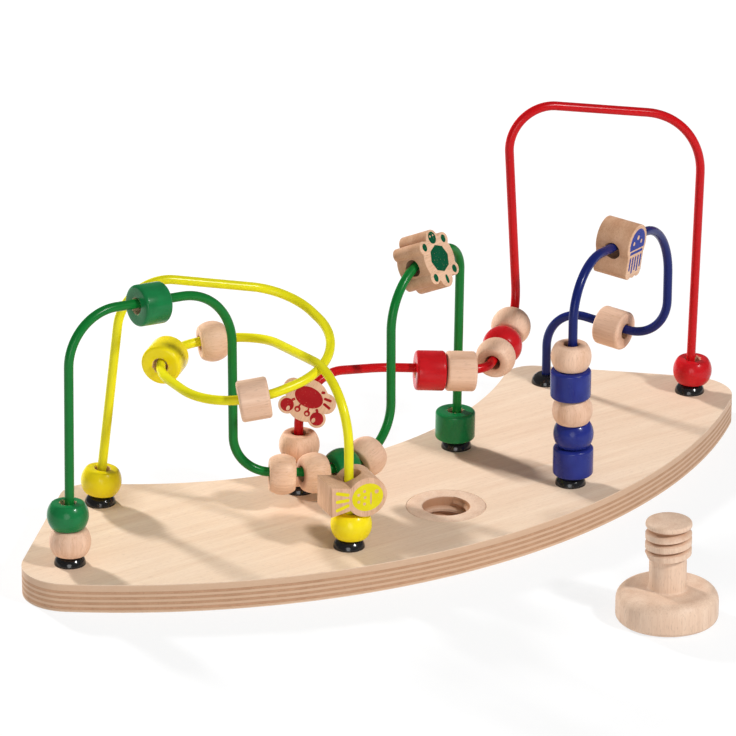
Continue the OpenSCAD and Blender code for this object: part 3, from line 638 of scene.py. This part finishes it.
# %% Bend the four wires
WIRE_R = 2.4
WIRE_SEGMENTS = 24
BEND_STEP = math.radians(4)
WIRES = {
    "green": [
        (-195.52, 49.67, 6, 0), (-195.52, 49.67, 20.5, 56), (-191.05, 52.83, 146, 26.6),
        (-94.51, 54.03, 138.14, 32.2), (-94.51, 54.03, 38.32, 20.16), (-53.42, 30.06, 35.96, 53.4),
        (-6.61, 39.76, 33.99, 25.36), (-6.61, 39.76, 129.62, 30.8), (52.09, 60.44, 130.28, 14.84),
        (50.13, 60.25, 20.5, 56), (50.13, 60.25, 6, 0),
    ],
    "yellow": [
        (-143.08, 105.07, 6, 0), (-143.08, 105.07, 23.06, 60), (-130.22, 99, 139, 24.9),
        (-44.74, 75.97, 119.16, 27.9), (-45.21, 12.19, 103.04, 37.8), (-125.92, 17.93, 88.53, 37.8),
        (-122.44, 103.87, 92.5, 31.5), (-57.57, 90.97, 94.61, 30), (-69.83, -13.3, 106.02, 33.9),
        (-69.83, -13.3, 6, 0),
    ],
    "red": [
        (-50.13, 60.25, 6, 0), (-50.13, 60.25, 79.79, 24), (4.94, 63.56, 69.29, 30), (53.44, 37.53, 65.54, 12),
        (100.56, 75.49, 71.95, 20.1), (93.81, 77.34, 193, 21.9), (198.48, 44.26, 173.95, 37.8),
        (198.91, 50.06, 21.05, 60), (198.91, 50.06, 6, 0),
    ],
    "blue": [
        (69.83, -13.3, 6, 0), (69.83, -13.3, 135, 28), (170.59, 35.9, 124.2, 33.6), (170.59, 35.9, 54.72, 22.4),
        (143.08, 105.07, 60, 22.4), (143.08, 105.07, 6, 0),
    ],
}


def loop_of(geom):
    verts = verts_in(geom)
    inside = set(verts)
    edges = [item for item in geom if isinstance(item, bmesh.types.BMEdge) and inside.issuperset(item.verts)]
    return verts, edges


def bend_wire(corners):
    points = [Vector(row[:3]) for row in corners]
    headings = [(b - a).normalized() for a, b in zip(points, points[1:])]
    bm = bmesh.new()
    bmesh.ops.create_circle(bm, cap_ends=True, segments=WIRE_SEGMENTS, radius=WIRE_R,
                            matrix=along(headings[0], points[0]))
    edges, here = bm.edges[:], points[0]
    for i, heading in enumerate(headings, 1):
        last = i == len(headings)
        radius = corners[i][3]
        bend = 0 if last else heading.angle(headings[i])
        reach = radius * math.tan(bend / 2)
        there = points[i] - heading * reach
        verts, edges = loop_of(bmesh.ops.extrude_edge_only(bm, edges=edges)["geom"])
        bmesh.ops.translate(bm, vec=there - here, verts=verts)
        if not last:
            axis = heading.cross(headings[i]).normalized()
            turned = bmesh.ops.spin(bm, geom=verts + edges, cent=there + radius * axis.cross(heading), axis=axis,
                                    dvec=(0, 0, 0), angle=bend, steps=max(2, math.ceil(bend / BEND_STEP)),
                                    use_merge=False, use_duplicate=False)
            verts, edges = loop_of(turned["geom_last"])
            here = points[i] + headings[i] * reach
    bmesh.ops.contextual_create(bm, geom=edges)
    bmesh.ops.recalc_face_normals(bm, faces=bm.faces[:])
    return bm


for tint, corners in WIRES.items():
    node, finish = "wire_" + tint, tint + "_wire"
    wire = finish_piece("bent_" + node, bend_wire(corners), Matrix(), finish, "maze", node)
    print(node, len(wire.data.polygons), "faces,", round(box_misfit(wire, node), 2), "mm off its node's box")

# %% [markdown]
# ## Caps
# A black moulded cap covers each hole in the board. It is a low dome with a flat top round the wire, on a sleeve
# that goes down into the hole. A moulding as round as this can be turned like a bead: the profile has a thin
# straight rim at the foot, where the mould parts, and the dome is a few corners that are eased into each other.

# %% Turn the caps
CAP_R = 8
CAP_TOP_R = 5
CAP_H = 5
CAP_RIM = 0.6
CAP_DOME = [(CAP_R, CAP_RIM), (CAP_R - 0.5, 2.4), (CAP_R - 1.5, 3.9), (CAP_TOP_R, CAP_H)]
CAP_EASE = 0.45
CAP_HOLE_R = WIRE_R + 0.1
SLEEVE_R = 4
SLEEVE_LOW = -9
CAPS = {
    "cap_green_left": (-195.52, 49.67), "cap_green_right": (50.13, 60.25), "cap_yellow_rear": (-143.08, 105.07),
    "cap_yellow_front": (-69.83, -13.3), "cap_red_left": (-50.13, 60.25), "cap_red_right": (198.91, 50.06),
    "cap_blue_front": (69.83, -13.3), "cap_blue_rear": (143.08, 105.07),
}


def turned_cap():
    bm = bmesh.new()
    sleeve = [(CAP_HOLE_R, SLEEVE_LOW), (SLEEVE_R, SLEEVE_LOW), (SLEEVE_R, 0)]
    profile(bm, [*sleeve, (CAP_R, 0), *CAP_DOME, (CAP_HOLE_R, CAP_H)], closed=True)
    spin_round(bm)
    for radius, height in CAP_DOME:
        ease(bm, ring(bm, radius, height), CAP_EASE)
    return bm


misfits = []
for node, (x, y) in CAPS.items():
    place = Matrix.Translation((x, y, BOARD_T))
    piece = finish_piece("moulded_" + node, turned_cap(), place, "black_plastic", "maze", node)
    misfits.append(box_misfit(piece, node))
print(len(CAPS), "caps, at most", round(max(misfits), 2), "mm off their nodes' boxes")

# %% [markdown]
# ## The board
# The base is a quarter ring with rounded corners, sawn from plywood and eased all round. A disc could be cut down
# to it with planes, but its corners would stay sharp. So the outline is drawn like a pen line: one vertex is spun
# along each arc and pushed along each straight end. The outline and the hole for the insert are filled together,
# raised to the board's thickness, and the edges rounded over.

# %% Saw the board
ARC_MIDDLE = Vector((0, 283, 0))
FRONT_R = 330
REAR_R = 204
HALF_ANGLE = math.radians(44.5)
FRONT_CORNER = 25
REAR_CORNER = 16
BOARD_EASE = 1.5
INSERT_HOLE_R = 20.6
HOLE_SEGMENTS = 96
FLUSH_EASE = 0.35
ARC_STEP = math.radians(1)
CORNER_STEP = math.radians(6)
PEN_SLACK = 0.01
EDGE_ANGLE = math.radians(60)


def ray(radius, angle):
    return ARC_MIDDLE + Vector((radius * math.sin(angle), -radius * math.cos(angle), 0))


def draw_arc(bm, vert, middle, sweep, step):
    spun = bmesh.ops.spin(bm, geom=[vert], cent=middle, axis=UP, dvec=(0, 0, 0), angle=sweep,
                          steps=math.ceil(abs(sweep) / step), use_merge=False, use_duplicate=False)
    return verts_in(spun["geom_last"])[0]


def draw_line(bm, vert, to):
    new = bmesh.ops.extrude_vert_indiv(bm, verts=[vert])["verts"][0]
    new.co = to
    return new


def sawn_board():
    """Draws the front arc, the right end, the rear arc and the left end, and raises the filled outline."""
    bm = bmesh.new()
    front_in, rear_in = FRONT_R - FRONT_CORNER, REAR_R + REAR_CORNER
    front_tip, rear_tip = math.asin(FRONT_CORNER / front_in), math.asin(REAR_CORNER / rear_in)
    front_a, rear_a = HALF_ANGLE - front_tip, HALF_ANGLE - rear_tip
    front_turn, rear_turn = math.radians(90) + front_tip, math.radians(90) - rear_tip
    pen = bm.verts.new(ray(FRONT_R, -front_a))
    pen = draw_arc(bm, pen, ARC_MIDDLE, 2 * front_a, ARC_STEP)
    pen = draw_arc(bm, pen, ray(front_in, front_a), front_turn, CORNER_STEP)
    pen = draw_line(bm, pen, ray(rear_in * math.cos(rear_tip), HALF_ANGLE))
    pen = draw_arc(bm, pen, ray(rear_in, rear_a), rear_turn, CORNER_STEP)
    pen = draw_arc(bm, pen, ARC_MIDDLE, -2 * rear_a, ARC_STEP)
    pen = draw_arc(bm, pen, ray(rear_in, -rear_a), rear_turn, CORNER_STEP)
    pen = draw_line(bm, pen, ray(front_in * math.cos(front_tip), -HALF_ANGLE))
    draw_arc(bm, pen, ray(front_in, -front_a), front_turn, CORNER_STEP)
    bmesh.ops.remove_doubles(bm, verts=bm.verts[:], dist=PEN_SLACK)
    bmesh.ops.create_circle(bm, cap_ends=False, segments=HOLE_SEGMENTS, radius=INSERT_HOLE_R)
    bmesh.ops.triangle_fill(bm, use_beauty=True, use_dissolve=False, edges=bm.edges[:], normal=UP)
    raised = bmesh.ops.extrude_face_region(bm, geom=bm.faces[:], use_keep_orig=True)["geom"]
    bmesh.ops.translate(bm, vec=UP * BOARD_T, verts=verts_in(raised))
    bmesh.ops.recalc_face_normals(bm, faces=bm.faces[:])
    return bm


def corner_edges(bm, hole):
    """The edges between a flat face and an upright wall, of the hole or of the outline."""
    found = []
    for edge in bm.edges:
        if len(edge.link_faces) == 2 and edge.calc_face_angle() > EDGE_ANGLE:
            flat = abs(edge.verts[0].co.z - edge.verts[1].co.z) < PEN_SLACK
            in_hole = edge.verts[0].co.xy.length < INSERT_HOLE_R + 1
            if flat and in_hole == hole:
                found.append(edge)
    return found


bm = sawn_board()
ease(bm, corner_edges(bm, False), BOARD_EASE, 5)
ease(bm, corner_edges(bm, True), FLUSH_EASE, 2)
board = finish_piece("plywood_board", bm, Matrix(), "plywood", "maze", "base_board", sharp=50)
weighted = board.modifiers.new("flat_faces_first", "WEIGHTED_NORMAL")
weighted.keep_sharp = True
print("board", len(board.data.polygons), "faces,", round(box_misfit(board, "base_board"), 2), "mm off its box")

# %% [markdown]
# ## Wooden threads
# The screw and the insert have a coarse thread with broad, flat crests, cut in wood. A bump in the finish would
# leave their outline straight, so the thread is a real ridge. A thread is a helix: its cross section is spun round
# the axis and rises by one pitch in each turn, which spin does by itself when it is given a step to move by. The
# ridge sinks a little into its core, and its ends shrink into it so that it runs out softly.

# %% Helper for a thread
PITCH = 5.2
THREAD_STEPS = 48
SHOULDER = 0.7
CREST_ROUND = 0.35
RUN_OUT = PITCH / 3


def thread_ridge(bm, root_r, crest_r, root_w, crest_w, low, turns):
    """Adds one helical ridge from the root to the crest; both ends run out within a third of a turn."""
    shoulder_r = root_r + SHOULDER * (crest_r - root_r)
    shoulder_w = root_w + SHOULDER * (crest_w - root_w)
    flank = [(root_r, root_w / 2), (shoulder_r, shoulder_w / 2), (crest_r, crest_w / 2 - CREST_ROUND)]
    core = set(bm.verts)
    section = profile(bm, [(r, -z) for r, z in flank] + flank[::-1], closed=True)
    edges = [edge for edge in bm.edges if set(edge.verts) <= set(section)]
    bmesh.ops.translate(bm, vec=UP * low, verts=section)
    bmesh.ops.spin(bm, geom=section + edges, cent=(0, 0, 0), axis=UP, dvec=UP * PITCH / THREAD_STEPS,
                   angle=math.tau * turns, steps=round(turns * THREAD_STEPS), use_merge=False, use_duplicate=False)
    high = low + PITCH * turns
    for vert in bm.verts:
        if vert not in core:
            radius = vert.co.xy.length
            share = max(0.0, min(1.0, (vert.co.z - low) / RUN_OUT, (high - vert.co.z) / RUN_OUT))
            wanted = root_r + (radius - root_r) * share
            vert.co.x *= wanted / radius
            vert.co.y *= wanted / radius


print("thread pitch", PITCH, "mm")

# %% [markdown]
# ## The insert
# The insert is a bush of beech, glued flush into the board, and its thread takes the hand screw. The groove could
# be cut out of a solid ring, but that would spoil the clean rings of the lathe. So a plain ring is turned, and the
# thread stands on the wall of its bore as a ridge. The wood in the bore is browner the deeper it lies: that is
# painted shade.

# %% Turn the insert
THREAD_SEGMENTS = 72
INSERT_R = 20.5
INSERT_BORE_R = 12
INSERT_CREST_R = 10.2
INSERT_SINK = 0.2
MOUTH_EASE = 0.9
# Painted shade in the insert's bore: some on the crest, more towards the groove.
CREST_SHADE = 0.4
SHADE_RISE = 0.45
WALL_SLACK = 0.3


def turned_insert():
    bm = bmesh.new()
    corners = [(INSERT_BORE_R, 0), (INSERT_R, 0), (INSERT_R, BOARD_T), (INSERT_BORE_R, BOARD_T)]
    profile(bm, corners, closed=True)
    spin_round(bm, THREAD_SEGMENTS)
    for height in (0, BOARD_T):
        ease(bm, ring(bm, INSERT_R, height), FLUSH_EASE, 2)
        ease(bm, ring(bm, INSERT_BORE_R, height), MOUTH_EASE)
    thread_ridge(bm, INSERT_BORE_R + INSERT_SINK, INSERT_CREST_R, root_w=4.0, crest_w=1.9, low=2.1, turns=2.1)
    bmesh.ops.recalc_face_normals(bm, faces=bm.faces[:])
    return bm


# Painted shade: darker the deeper the point lies in the bore.
def insert_bore_shade(co):
    radius = co.xy.length
    if radius > INSERT_BORE_R + WALL_SLACK:
        return 0.0
    return min(1.0, CREST_SHADE + SHADE_RISE * (radius - INSERT_CREST_R))


insert = finish_piece("turned_insert", turned_insert(), Matrix(), "screw_beech", "maze",
                      "threaded_insert", wear_and_shade=insert_bore_shade)
print("insert", len(insert.data.polygons), "faces,", round(box_misfit(insert, "threaded_insert"), 2), "mm off")

# %% [markdown]
# ## The hand screw
# The screw stands on its head beside the maze: a thick round knob, a smooth neck, and a thread that ends in a plain
# disc. Knob, neck and core could be three pieces, but it is turned from one, so one profile gives them all, and
# each edge is eased by its own amount. The ridge is then wound round the core. The wood is browner the deeper it
# lies in the groove: that is painted shade.

# %% Turn the hand screw
SCREW_PLACE = (29, -146, 0)
HEAD_R = 25.5
HEAD_T = 16
HEAD_ROUND = 6
FOOT_ROUND = 2.5
NECK_R = 9.3
NECK_TOP = 30
NECK_ROUND = 1.2
THREAD_R = 11.5
THREAD_ROOT_R = 9.2
SCREW_SINK = 0.3
TIP_Z = 52
TIP_LOW = TIP_Z - 2.6
TIP_FLARE = TIP_Z - 3.2
TIP_EASE = 1.4
TIP_LOW_EASE = 0.4
# Painted shade in the thread grooves is kept between these heights.
GROOVE_SHADE_LOW = NECK_TOP + 0.5
GROOVE_SHADE_HIGH = TIP_Z - 2.4


def turned_screw():
    bm = bmesh.new()
    knob = [(0, 0), (HEAD_R, 0), (HEAD_R, HEAD_T), (NECK_R, HEAD_T)]
    shaft = [(NECK_R, NECK_TOP), (THREAD_ROOT_R, NECK_TOP), (THREAD_ROOT_R, TIP_FLARE)]
    profile(bm, [*knob, *shaft, (THREAD_R, TIP_LOW), (THREAD_R, TIP_Z), (0, TIP_Z)])
    spin_round(bm, THREAD_SEGMENTS)
    ease(bm, ring(bm, HEAD_R, HEAD_T), HEAD_ROUND, 8)
    ease(bm, ring(bm, HEAD_R, 0), FOOT_ROUND, 5)
    ease(bm, ring(bm, NECK_R, HEAD_T), NECK_ROUND, 4)
    ease(bm, ring(bm, THREAD_R, TIP_Z), TIP_EASE, 4)
    ease(bm, ring(bm, THREAD_R, TIP_LOW), TIP_LOW_EASE, 2)
    thread_ridge(bm, THREAD_ROOT_R - SCREW_SINK, THREAD_R, root_w=5.1, crest_w=3.5, low=NECK_TOP + 1.9, turns=3.1)
    bmesh.ops.recalc_face_normals(bm, faces=bm.faces[:])
    return bm


# Painted shade: darker the deeper the point lies in the thread groove.
def screw_groove_shade(co):
    if not GROOVE_SHADE_LOW < co.z < GROOVE_SHADE_HIGH:
        return 0.0
    return max(0.0, min(1.0, (THREAD_R - co.xy.length) / (THREAD_R - THREAD_ROOT_R)))


screw = finish_piece("turned_hand_screw", turned_screw(), Matrix.Translation(SCREW_PLACE), "screw_beech",
                     "hand_screw", "hand_screw", wear_and_shade=screw_groove_shade)
print("screw", len(screw.data.polygons), "faces,", round(box_misfit(screw, "hand_screw"), 2), "mm off its box")

# %% [markdown]
# ## The four animals
# The turtle, the crab, the fish and the jellyfish are sawn from thick beech. They could be drawn again here, but
# their outlines are the CAD solids' own, so each one starts as a copy of its node's mesh: the loose triangles are
# merged, flat ones joined again, and the sharp edges sanded with a bevel. Where the saw has passed, the wood is
# browner than on the two flat faces. A figure's frame has Z along its bore and X the way that it hangs.

# %% Saw the animals
FIGURE_T = 19
FIGURE_EASE = 0.8
FIGURE_MERGE = 0.02
FLAT_ANGLE = math.radians(1)
SANDED_ANGLE = math.radians(50)
FACE_SLACK = 0.05
SAWN_DEPTH = 0.3
SAWN_RUB = 0.42
FIRST_FIGURE_SEED = 41
FIGURES = {
    "turtle": ((22.23, 49.66, 128.25), (0.9431, 0.3323, 0.0105), (0.1509, -0.3997, -0.9041)),
    "crab": ((-44.61, 60.25, 63.4), (0.5621, 0.0337, 0.8264), (0.6423, -0.6473, -0.4104)),
    "fish": ((-68.12, -13.67, 44.6), (0, 0, 1), (0.9778, -0.2095, 0)),
    "jellyfish": ((117.83, 10.31, 128.1), (0.8944, 0.4368, -0.0959), (-0.1254, 0.0392, -0.9913)),
}


def figure_frame(name):
    middle, bore, hang = (Vector(part) for part in FIGURES[name])
    rows = Matrix((hang, bore.cross(hang), bore)).transposed().to_4x4()
    return Matrix.Translation(middle) @ rows


def on_face(vert):
    return abs(abs(vert.co.y) - FIGURE_T / 2) < FACE_SLACK


def sawn_figure(name):
    bm = bmesh.new()
    bm.from_mesh(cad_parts[name].data)
    bmesh.ops.transform(bm, matrix=figure_frame(name).inverted() @ Matrix.Scale(1 / MM, 4), verts=bm.verts[:])
    bmesh.ops.remove_doubles(bm, verts=bm.verts[:], dist=FIGURE_MERGE)
    bmesh.ops.dissolve_limit(bm, angle_limit=FLAT_ANGLE, use_dissolve_boundaries=False, verts=bm.verts[:],
                             edges=bm.edges[:], delimit=set())
    sharp = [edge for edge in bm.edges if len(edge.link_faces) == 2 and edge.calc_face_angle() > SANDED_ANGLE
             and all(on_face(vert) for vert in edge.verts)]
    ease(bm, sharp, FIGURE_EASE)
    return bm


def sawn_rub(co):
    return SAWN_RUB if abs(co.y) < FIGURE_T / 2 - SAWN_DEPTH else 0.0


for seed, name in enumerate(FIGURES, FIRST_FIGURE_SEED):
    piece = finish_piece("sawn_" + name, sawn_figure(name), figure_frame(name), "figure_beech",
                         name, name, seed, sawn_rub)
    print(name, len(piece.data.polygons), "faces,", round(box_misfit(piece, name), 2), "mm off its node's box")

# %% [markdown]
# ## The prints on the animals
# Each animal carries a print in one colour on both flat faces. A picture could be laid on them, but it would blur
# close up. So a print is a set of thin plates of ink that stand a few hundredths of a millimetre off the wood, and
# it is drawn as flat shapes first: discs with bare holes, short strokes, a bell that is a disc cut in two, and an
# octagon that is inset twice to give the shell its plates.

# %% Helpers for flat printed shapes
INK_LOW = FIGURE_T / 2 - 0.05
INK_T = 0.11
DISC_SEGMENTS = 40
STROKE_ROUND = 0.45


def outline(bm, x, y, wide, high):
    spread = Matrix.Translation((x, y, 0)) @ Matrix.Diagonal((wide, high, 1, 1))
    verts = bmesh.ops.create_circle(bm, cap_ends=False, segments=DISC_SEGMENTS, radius=1, matrix=spread)["verts"]
    return list(dict.fromkeys(edge for vert in verts for edge in vert.link_edges))


def disc(bm, x, y, wide, high, holes=()):
    edges = outline(bm, x, y, wide, high)
    for hole in holes:
        edges += outline(bm, *hole)
    bmesh.ops.triangle_fill(bm, use_beauty=True, use_dissolve=False, edges=edges, normal=UP)


def stroke(bm, start, end, width):
    start, end = Vector((*start, 0)), Vector((*end, 0))
    turned = (end - start).to_track_quat("X", "Z").to_matrix().to_4x4()
    shape = Matrix.Diagonal(((end - start).length / 2, width / 2, 1, 1))
    place = Matrix.Translation((start + end) / 2) @ turned @ shape
    verts = bmesh.ops.create_grid(bm, x_segments=1, y_segments=1, size=1, matrix=place)["verts"]
    bmesh.ops.bevel(bm, geom=verts, offset=STROKE_ROUND * width, offset_type="OFFSET", affect="VERTICES",
                    segments=4, profile=0.5, material=-1, clamp_overlap=True)


def shell_plates(bm, radius, depth, gap):
    verts = bmesh.ops.create_circle(bm, cap_ends=True, segments=8, radius=radius)["verts"]
    middle = verts[0].link_faces[0]
    around = bmesh.ops.inset_region(bm, faces=[middle], thickness=depth, use_even_offset=True)["faces"]
    gaps = bmesh.ops.inset_individual(bm, faces=[middle, *around], thickness=gap, use_even_offset=True)["faces"]
    bmesh.ops.delete(bm, geom=gaps, context="FACES")


def bell(bm, x, radius, cut, holes):
    """The first shape of a print: a disc without the part below the cut."""
    edges = outline(bm, x, 0, radius, radius)
    bmesh.ops.bisect_plane(bm, geom=bm.verts[:] + edges, dist=MERGE, plane_co=(cut, 0, 0), plane_no=(1, 0, 0),
                           clear_outer=True)
    bm.edges.new([vert for vert in bm.verts if len(vert.link_edges) == 1])
    for hole in holes:
        outline(bm, *hole)
    bmesh.ops.triangle_fill(bm, use_beauty=True, use_dissolve=False, edges=bm.edges[:], normal=UP)


print("ink stands", round(INK_LOW + INK_T - FIGURE_T / 2, 2), "mm off the wood")

# %% [markdown]
# ## Drawing the prints
# Each print is a simple picture of its animal, in millimetres from the figure's middle: plates and feet, a round
# body with claws, a spotted disc with a tail, and a bell with arms. Left and right are alike on most of them, so a
# loop draws both. The shapes are then raised and laid on both faces. The ink is flatter than the beads' paint, and
# rubbed a little so that some wood shows through.

# %% Draw the four prints
def turtle_print(bm):
    shell_plates(bm, 7.6, 3.8, 0.4)
    for sx in (-1, 1):
        for sy in (-1, 1):
            disc(bm, sx * 8.3, sy * 8.2, 2.1, 1.7)
    disc(bm, -11.2, 0, 3.2, 2.9, [(-12.2, -1.2, 0.55, 0.55), (-12.2, 1.2, 0.55, 0.55)])
    disc(bm, 11.4, 0, 2.4, 1.1)


def crab_print(bm):
    disc(bm, 0, 1.8, 7.6, 5.2)
    for side in (-1, 1):
        disc(bm, side * 8.4, -6.4, 3.5, 3.4, [(side * 7.2, -7.8, 0.9, 1.3)])
        disc(bm, side * 2.7, -6.0, 1.6, 1.6, [(side * 2.7, -6.3, 0.7, 0.7)])
        stroke(bm, (side * 2.3, -3.0), (side * 2.6, -4.9), 0.9)
        stroke(bm, (side * 6.0, -1.8), (side * 7.4, -3.4), 1.4)
        stroke(bm, (side * 8.0, 2.2), (side * 12.4, 1.2), 1.4)
        stroke(bm, (side * 7.2, 4.6), (side * 11.4, 5.0), 1.4)
        stroke(bm, (side * 4.6, 6.8), (side * 6.6, 7.5), 1.4)


def fish_print(bm):
    scales = [(2.7, 3.4), (2.7, -3.4), (3.0, 0), (-0.4, 1.9), (-0.4, -1.9)]
    spots = [(x, y, 0.8, 0.8) for x, y in scales]
    disc(bm, 4.4, 0, 8.4, 7.4, [(9.3, 2.4, 1.1, 1.1), (6.2, -0.8, 0.5, 3.4), *spots])
    for height in (-4.4, 0, 4.4):
        stroke(bm, (-5.4, 0.6 * height), (-12.8, height * 1.1), 1.8)


def jellyfish_print(bm):
    bell(bm, -4, 8.4, -1.4, [(-7.6, 0, 1.3, 1.3), (-5.0, -4.2, 1.1, 1.1), (-5.0, 4.2, 1.1, 1.1)])
    stroke(bm, (0.2, -7.2), (0.2, 7.2), 1.5)
    for lateral, low in ((-6, 9.6), (-3, 11.4), (0, 10.2), (3, 11.4), (6, 9.6)):
        stroke(bm, (2.4, lateral), (low, lateral), 1.5)


def both_faces(draw):
    bm = bmesh.new()
    draw(bm)
    raised = bmesh.ops.extrude_face_region(bm, geom=bm.faces[:], use_keep_orig=True)["geom"]
    bmesh.ops.translate(bm, vec=UP * INK_T, verts=verts_in(raised))
    bmesh.ops.translate(bm, vec=UP * INK_LOW, verts=bm.verts[:])
    copied = bmesh.ops.duplicate(bm, geom=bm.verts[:] + bm.edges[:] + bm.faces[:])["geom"]
    bmesh.ops.translate(bm, vec=-UP * (2 * INK_LOW + INK_T), verts=verts_in(copied))
    bmesh.ops.transform(bm, matrix=Matrix.Rotation(math.radians(90), 4, "X"), verts=bm.verts[:])
    bmesh.ops.recalc_face_normals(bm, faces=bm.faces[:])
    return bm


INK_RUB = 0.55
FIRST_PRINT_SEED = 51
PRINTS = {
    "turtle": ("green", turtle_print),
    "crab": ("red", crab_print),
    "fish": ("yellow", fish_print),
    "jellyfish": ("blue", jellyfish_print),
}
for seed, (name, (tint, draw)) in enumerate(PRINTS.items(), FIRST_PRINT_SEED):
    piece = finish_piece("printed_" + name, both_faces(draw), figure_frame(name), tint + "_ink",
                         name, seed=seed, wear_and_shade=lambda co: INK_RUB)
    print(name, "print,", len(piece.data.polygons), "faces")

# %% [markdown]
# ## Light and floor
# The object stands on a plain white floor. A low lamp behind it gives the long shadows that fall forwards, a higher
# one in front the shorter ones that fall backwards, a wide and weak one on the left lifts the shaded sides, and the
# pale world fills the rest. The rear lamp is left out of reflections, or it would whiten the board for a viewer in
# front. More light could make the floor white, but it would bleach the wood. So the floor glows only for the camera
# and in reflections, and a pale shadow still shows where the object stands.

# %% Floor, lamps and world
WHITE = (1, 1, 1, 1)
FLOOR_SIZE = 6
FLOOR_Z = -0.0002
FLOOR_PALE = (0.86, 0.86, 0.86, 1)
FLOOR_SEEN = (0.24, 0.24, 0.24, 1)
FLOOR_GLOW = 0.78
WORLD_LIGHT = 0.20
WORLD_SEEN = 1.0


def make_floor():
    bm = bmesh.new()
    below = Matrix.Translation((0, 0, FLOOR_Z))
    bmesh.ops.create_grid(bm, x_segments=1, y_segments=1, size=FLOOR_SIZE, matrix=below)
    mesh = bpy.data.meshes.new("floor")
    bm.to_mesh(mesh)
    bm.free()
    finish, tree, shader = new_finish("floor")
    rays = add_node(tree, "ShaderNodeLightPath").outputs
    seen = calculate(tree, "MAXIMUM", rays["Is Camera Ray"], rays["Is Glossy Ray"])
    feed(tree, shader, {
        "Base Color": blend_colours(tree, seen, FLOOR_PALE, FLOOR_SEEN),
        "Roughness": 0.9,
        "Specular IOR Level": 0.1,
        "Emission Color": WHITE,
        "Emission Strength": calculate(tree, "MULTIPLY", seen, FLOOR_GLOW),
    })
    mesh.materials.append(finish)
    floor = bpy.data.objects.new("floor", mesh)
    bpy.context.scene.collection.objects.link(floor)


def make_world():
    world = bpy.data.worlds.new("studio")
    bpy.context.scene.world = world
    world.use_nodes = True
    tree = world.node_tree
    tree.nodes.clear()
    rays = add_node(tree, "ShaderNodeLightPath").outputs
    seen = calculate(tree, "MAXIMUM", rays["Is Camera Ray"], rays["Is Transmission Ray"])
    strength = remap(tree, seen, 0.0, 1.0, WORLD_LIGHT, WORLD_SEEN)
    back = add_node(tree, "ShaderNodeBackground", {"Color": WHITE, "Strength": strength})
    add_node(tree, "ShaderNodeOutputWorld", {"Surface": back.outputs[0]})


def lamp(name, place, aim, size, power):
    data = bpy.data.lights.new(name, "AREA")
    data.shape = "DISK"
    data.size = size
    data.energy = power
    lit = bpy.data.objects.new(name, data)
    lit.location = place
    lit.rotation_mode = "QUATERNION"
    lit.rotation_quaternion = (Vector(aim) - Vector(place)).to_track_quat("-Z", "Y")
    bpy.context.scene.collection.objects.link(lit)
    return lit


make_floor()
make_world()
rear = lamp("rear", (-0.2, 1.6, 0.68), aim=(0, 0, 0.05), size=0.2, power=38)
rear.visible_glossy = False
lamp("front", (0.55, -1.65, 1.5), aim=(0, 0, 0.05), size=0.24, power=31)
lamp("fill", (-1.5, -1.7, 0.55), aim=(0, 0, 0.08), size=1.2, power=13)
print("floor, world and 3 lamps")
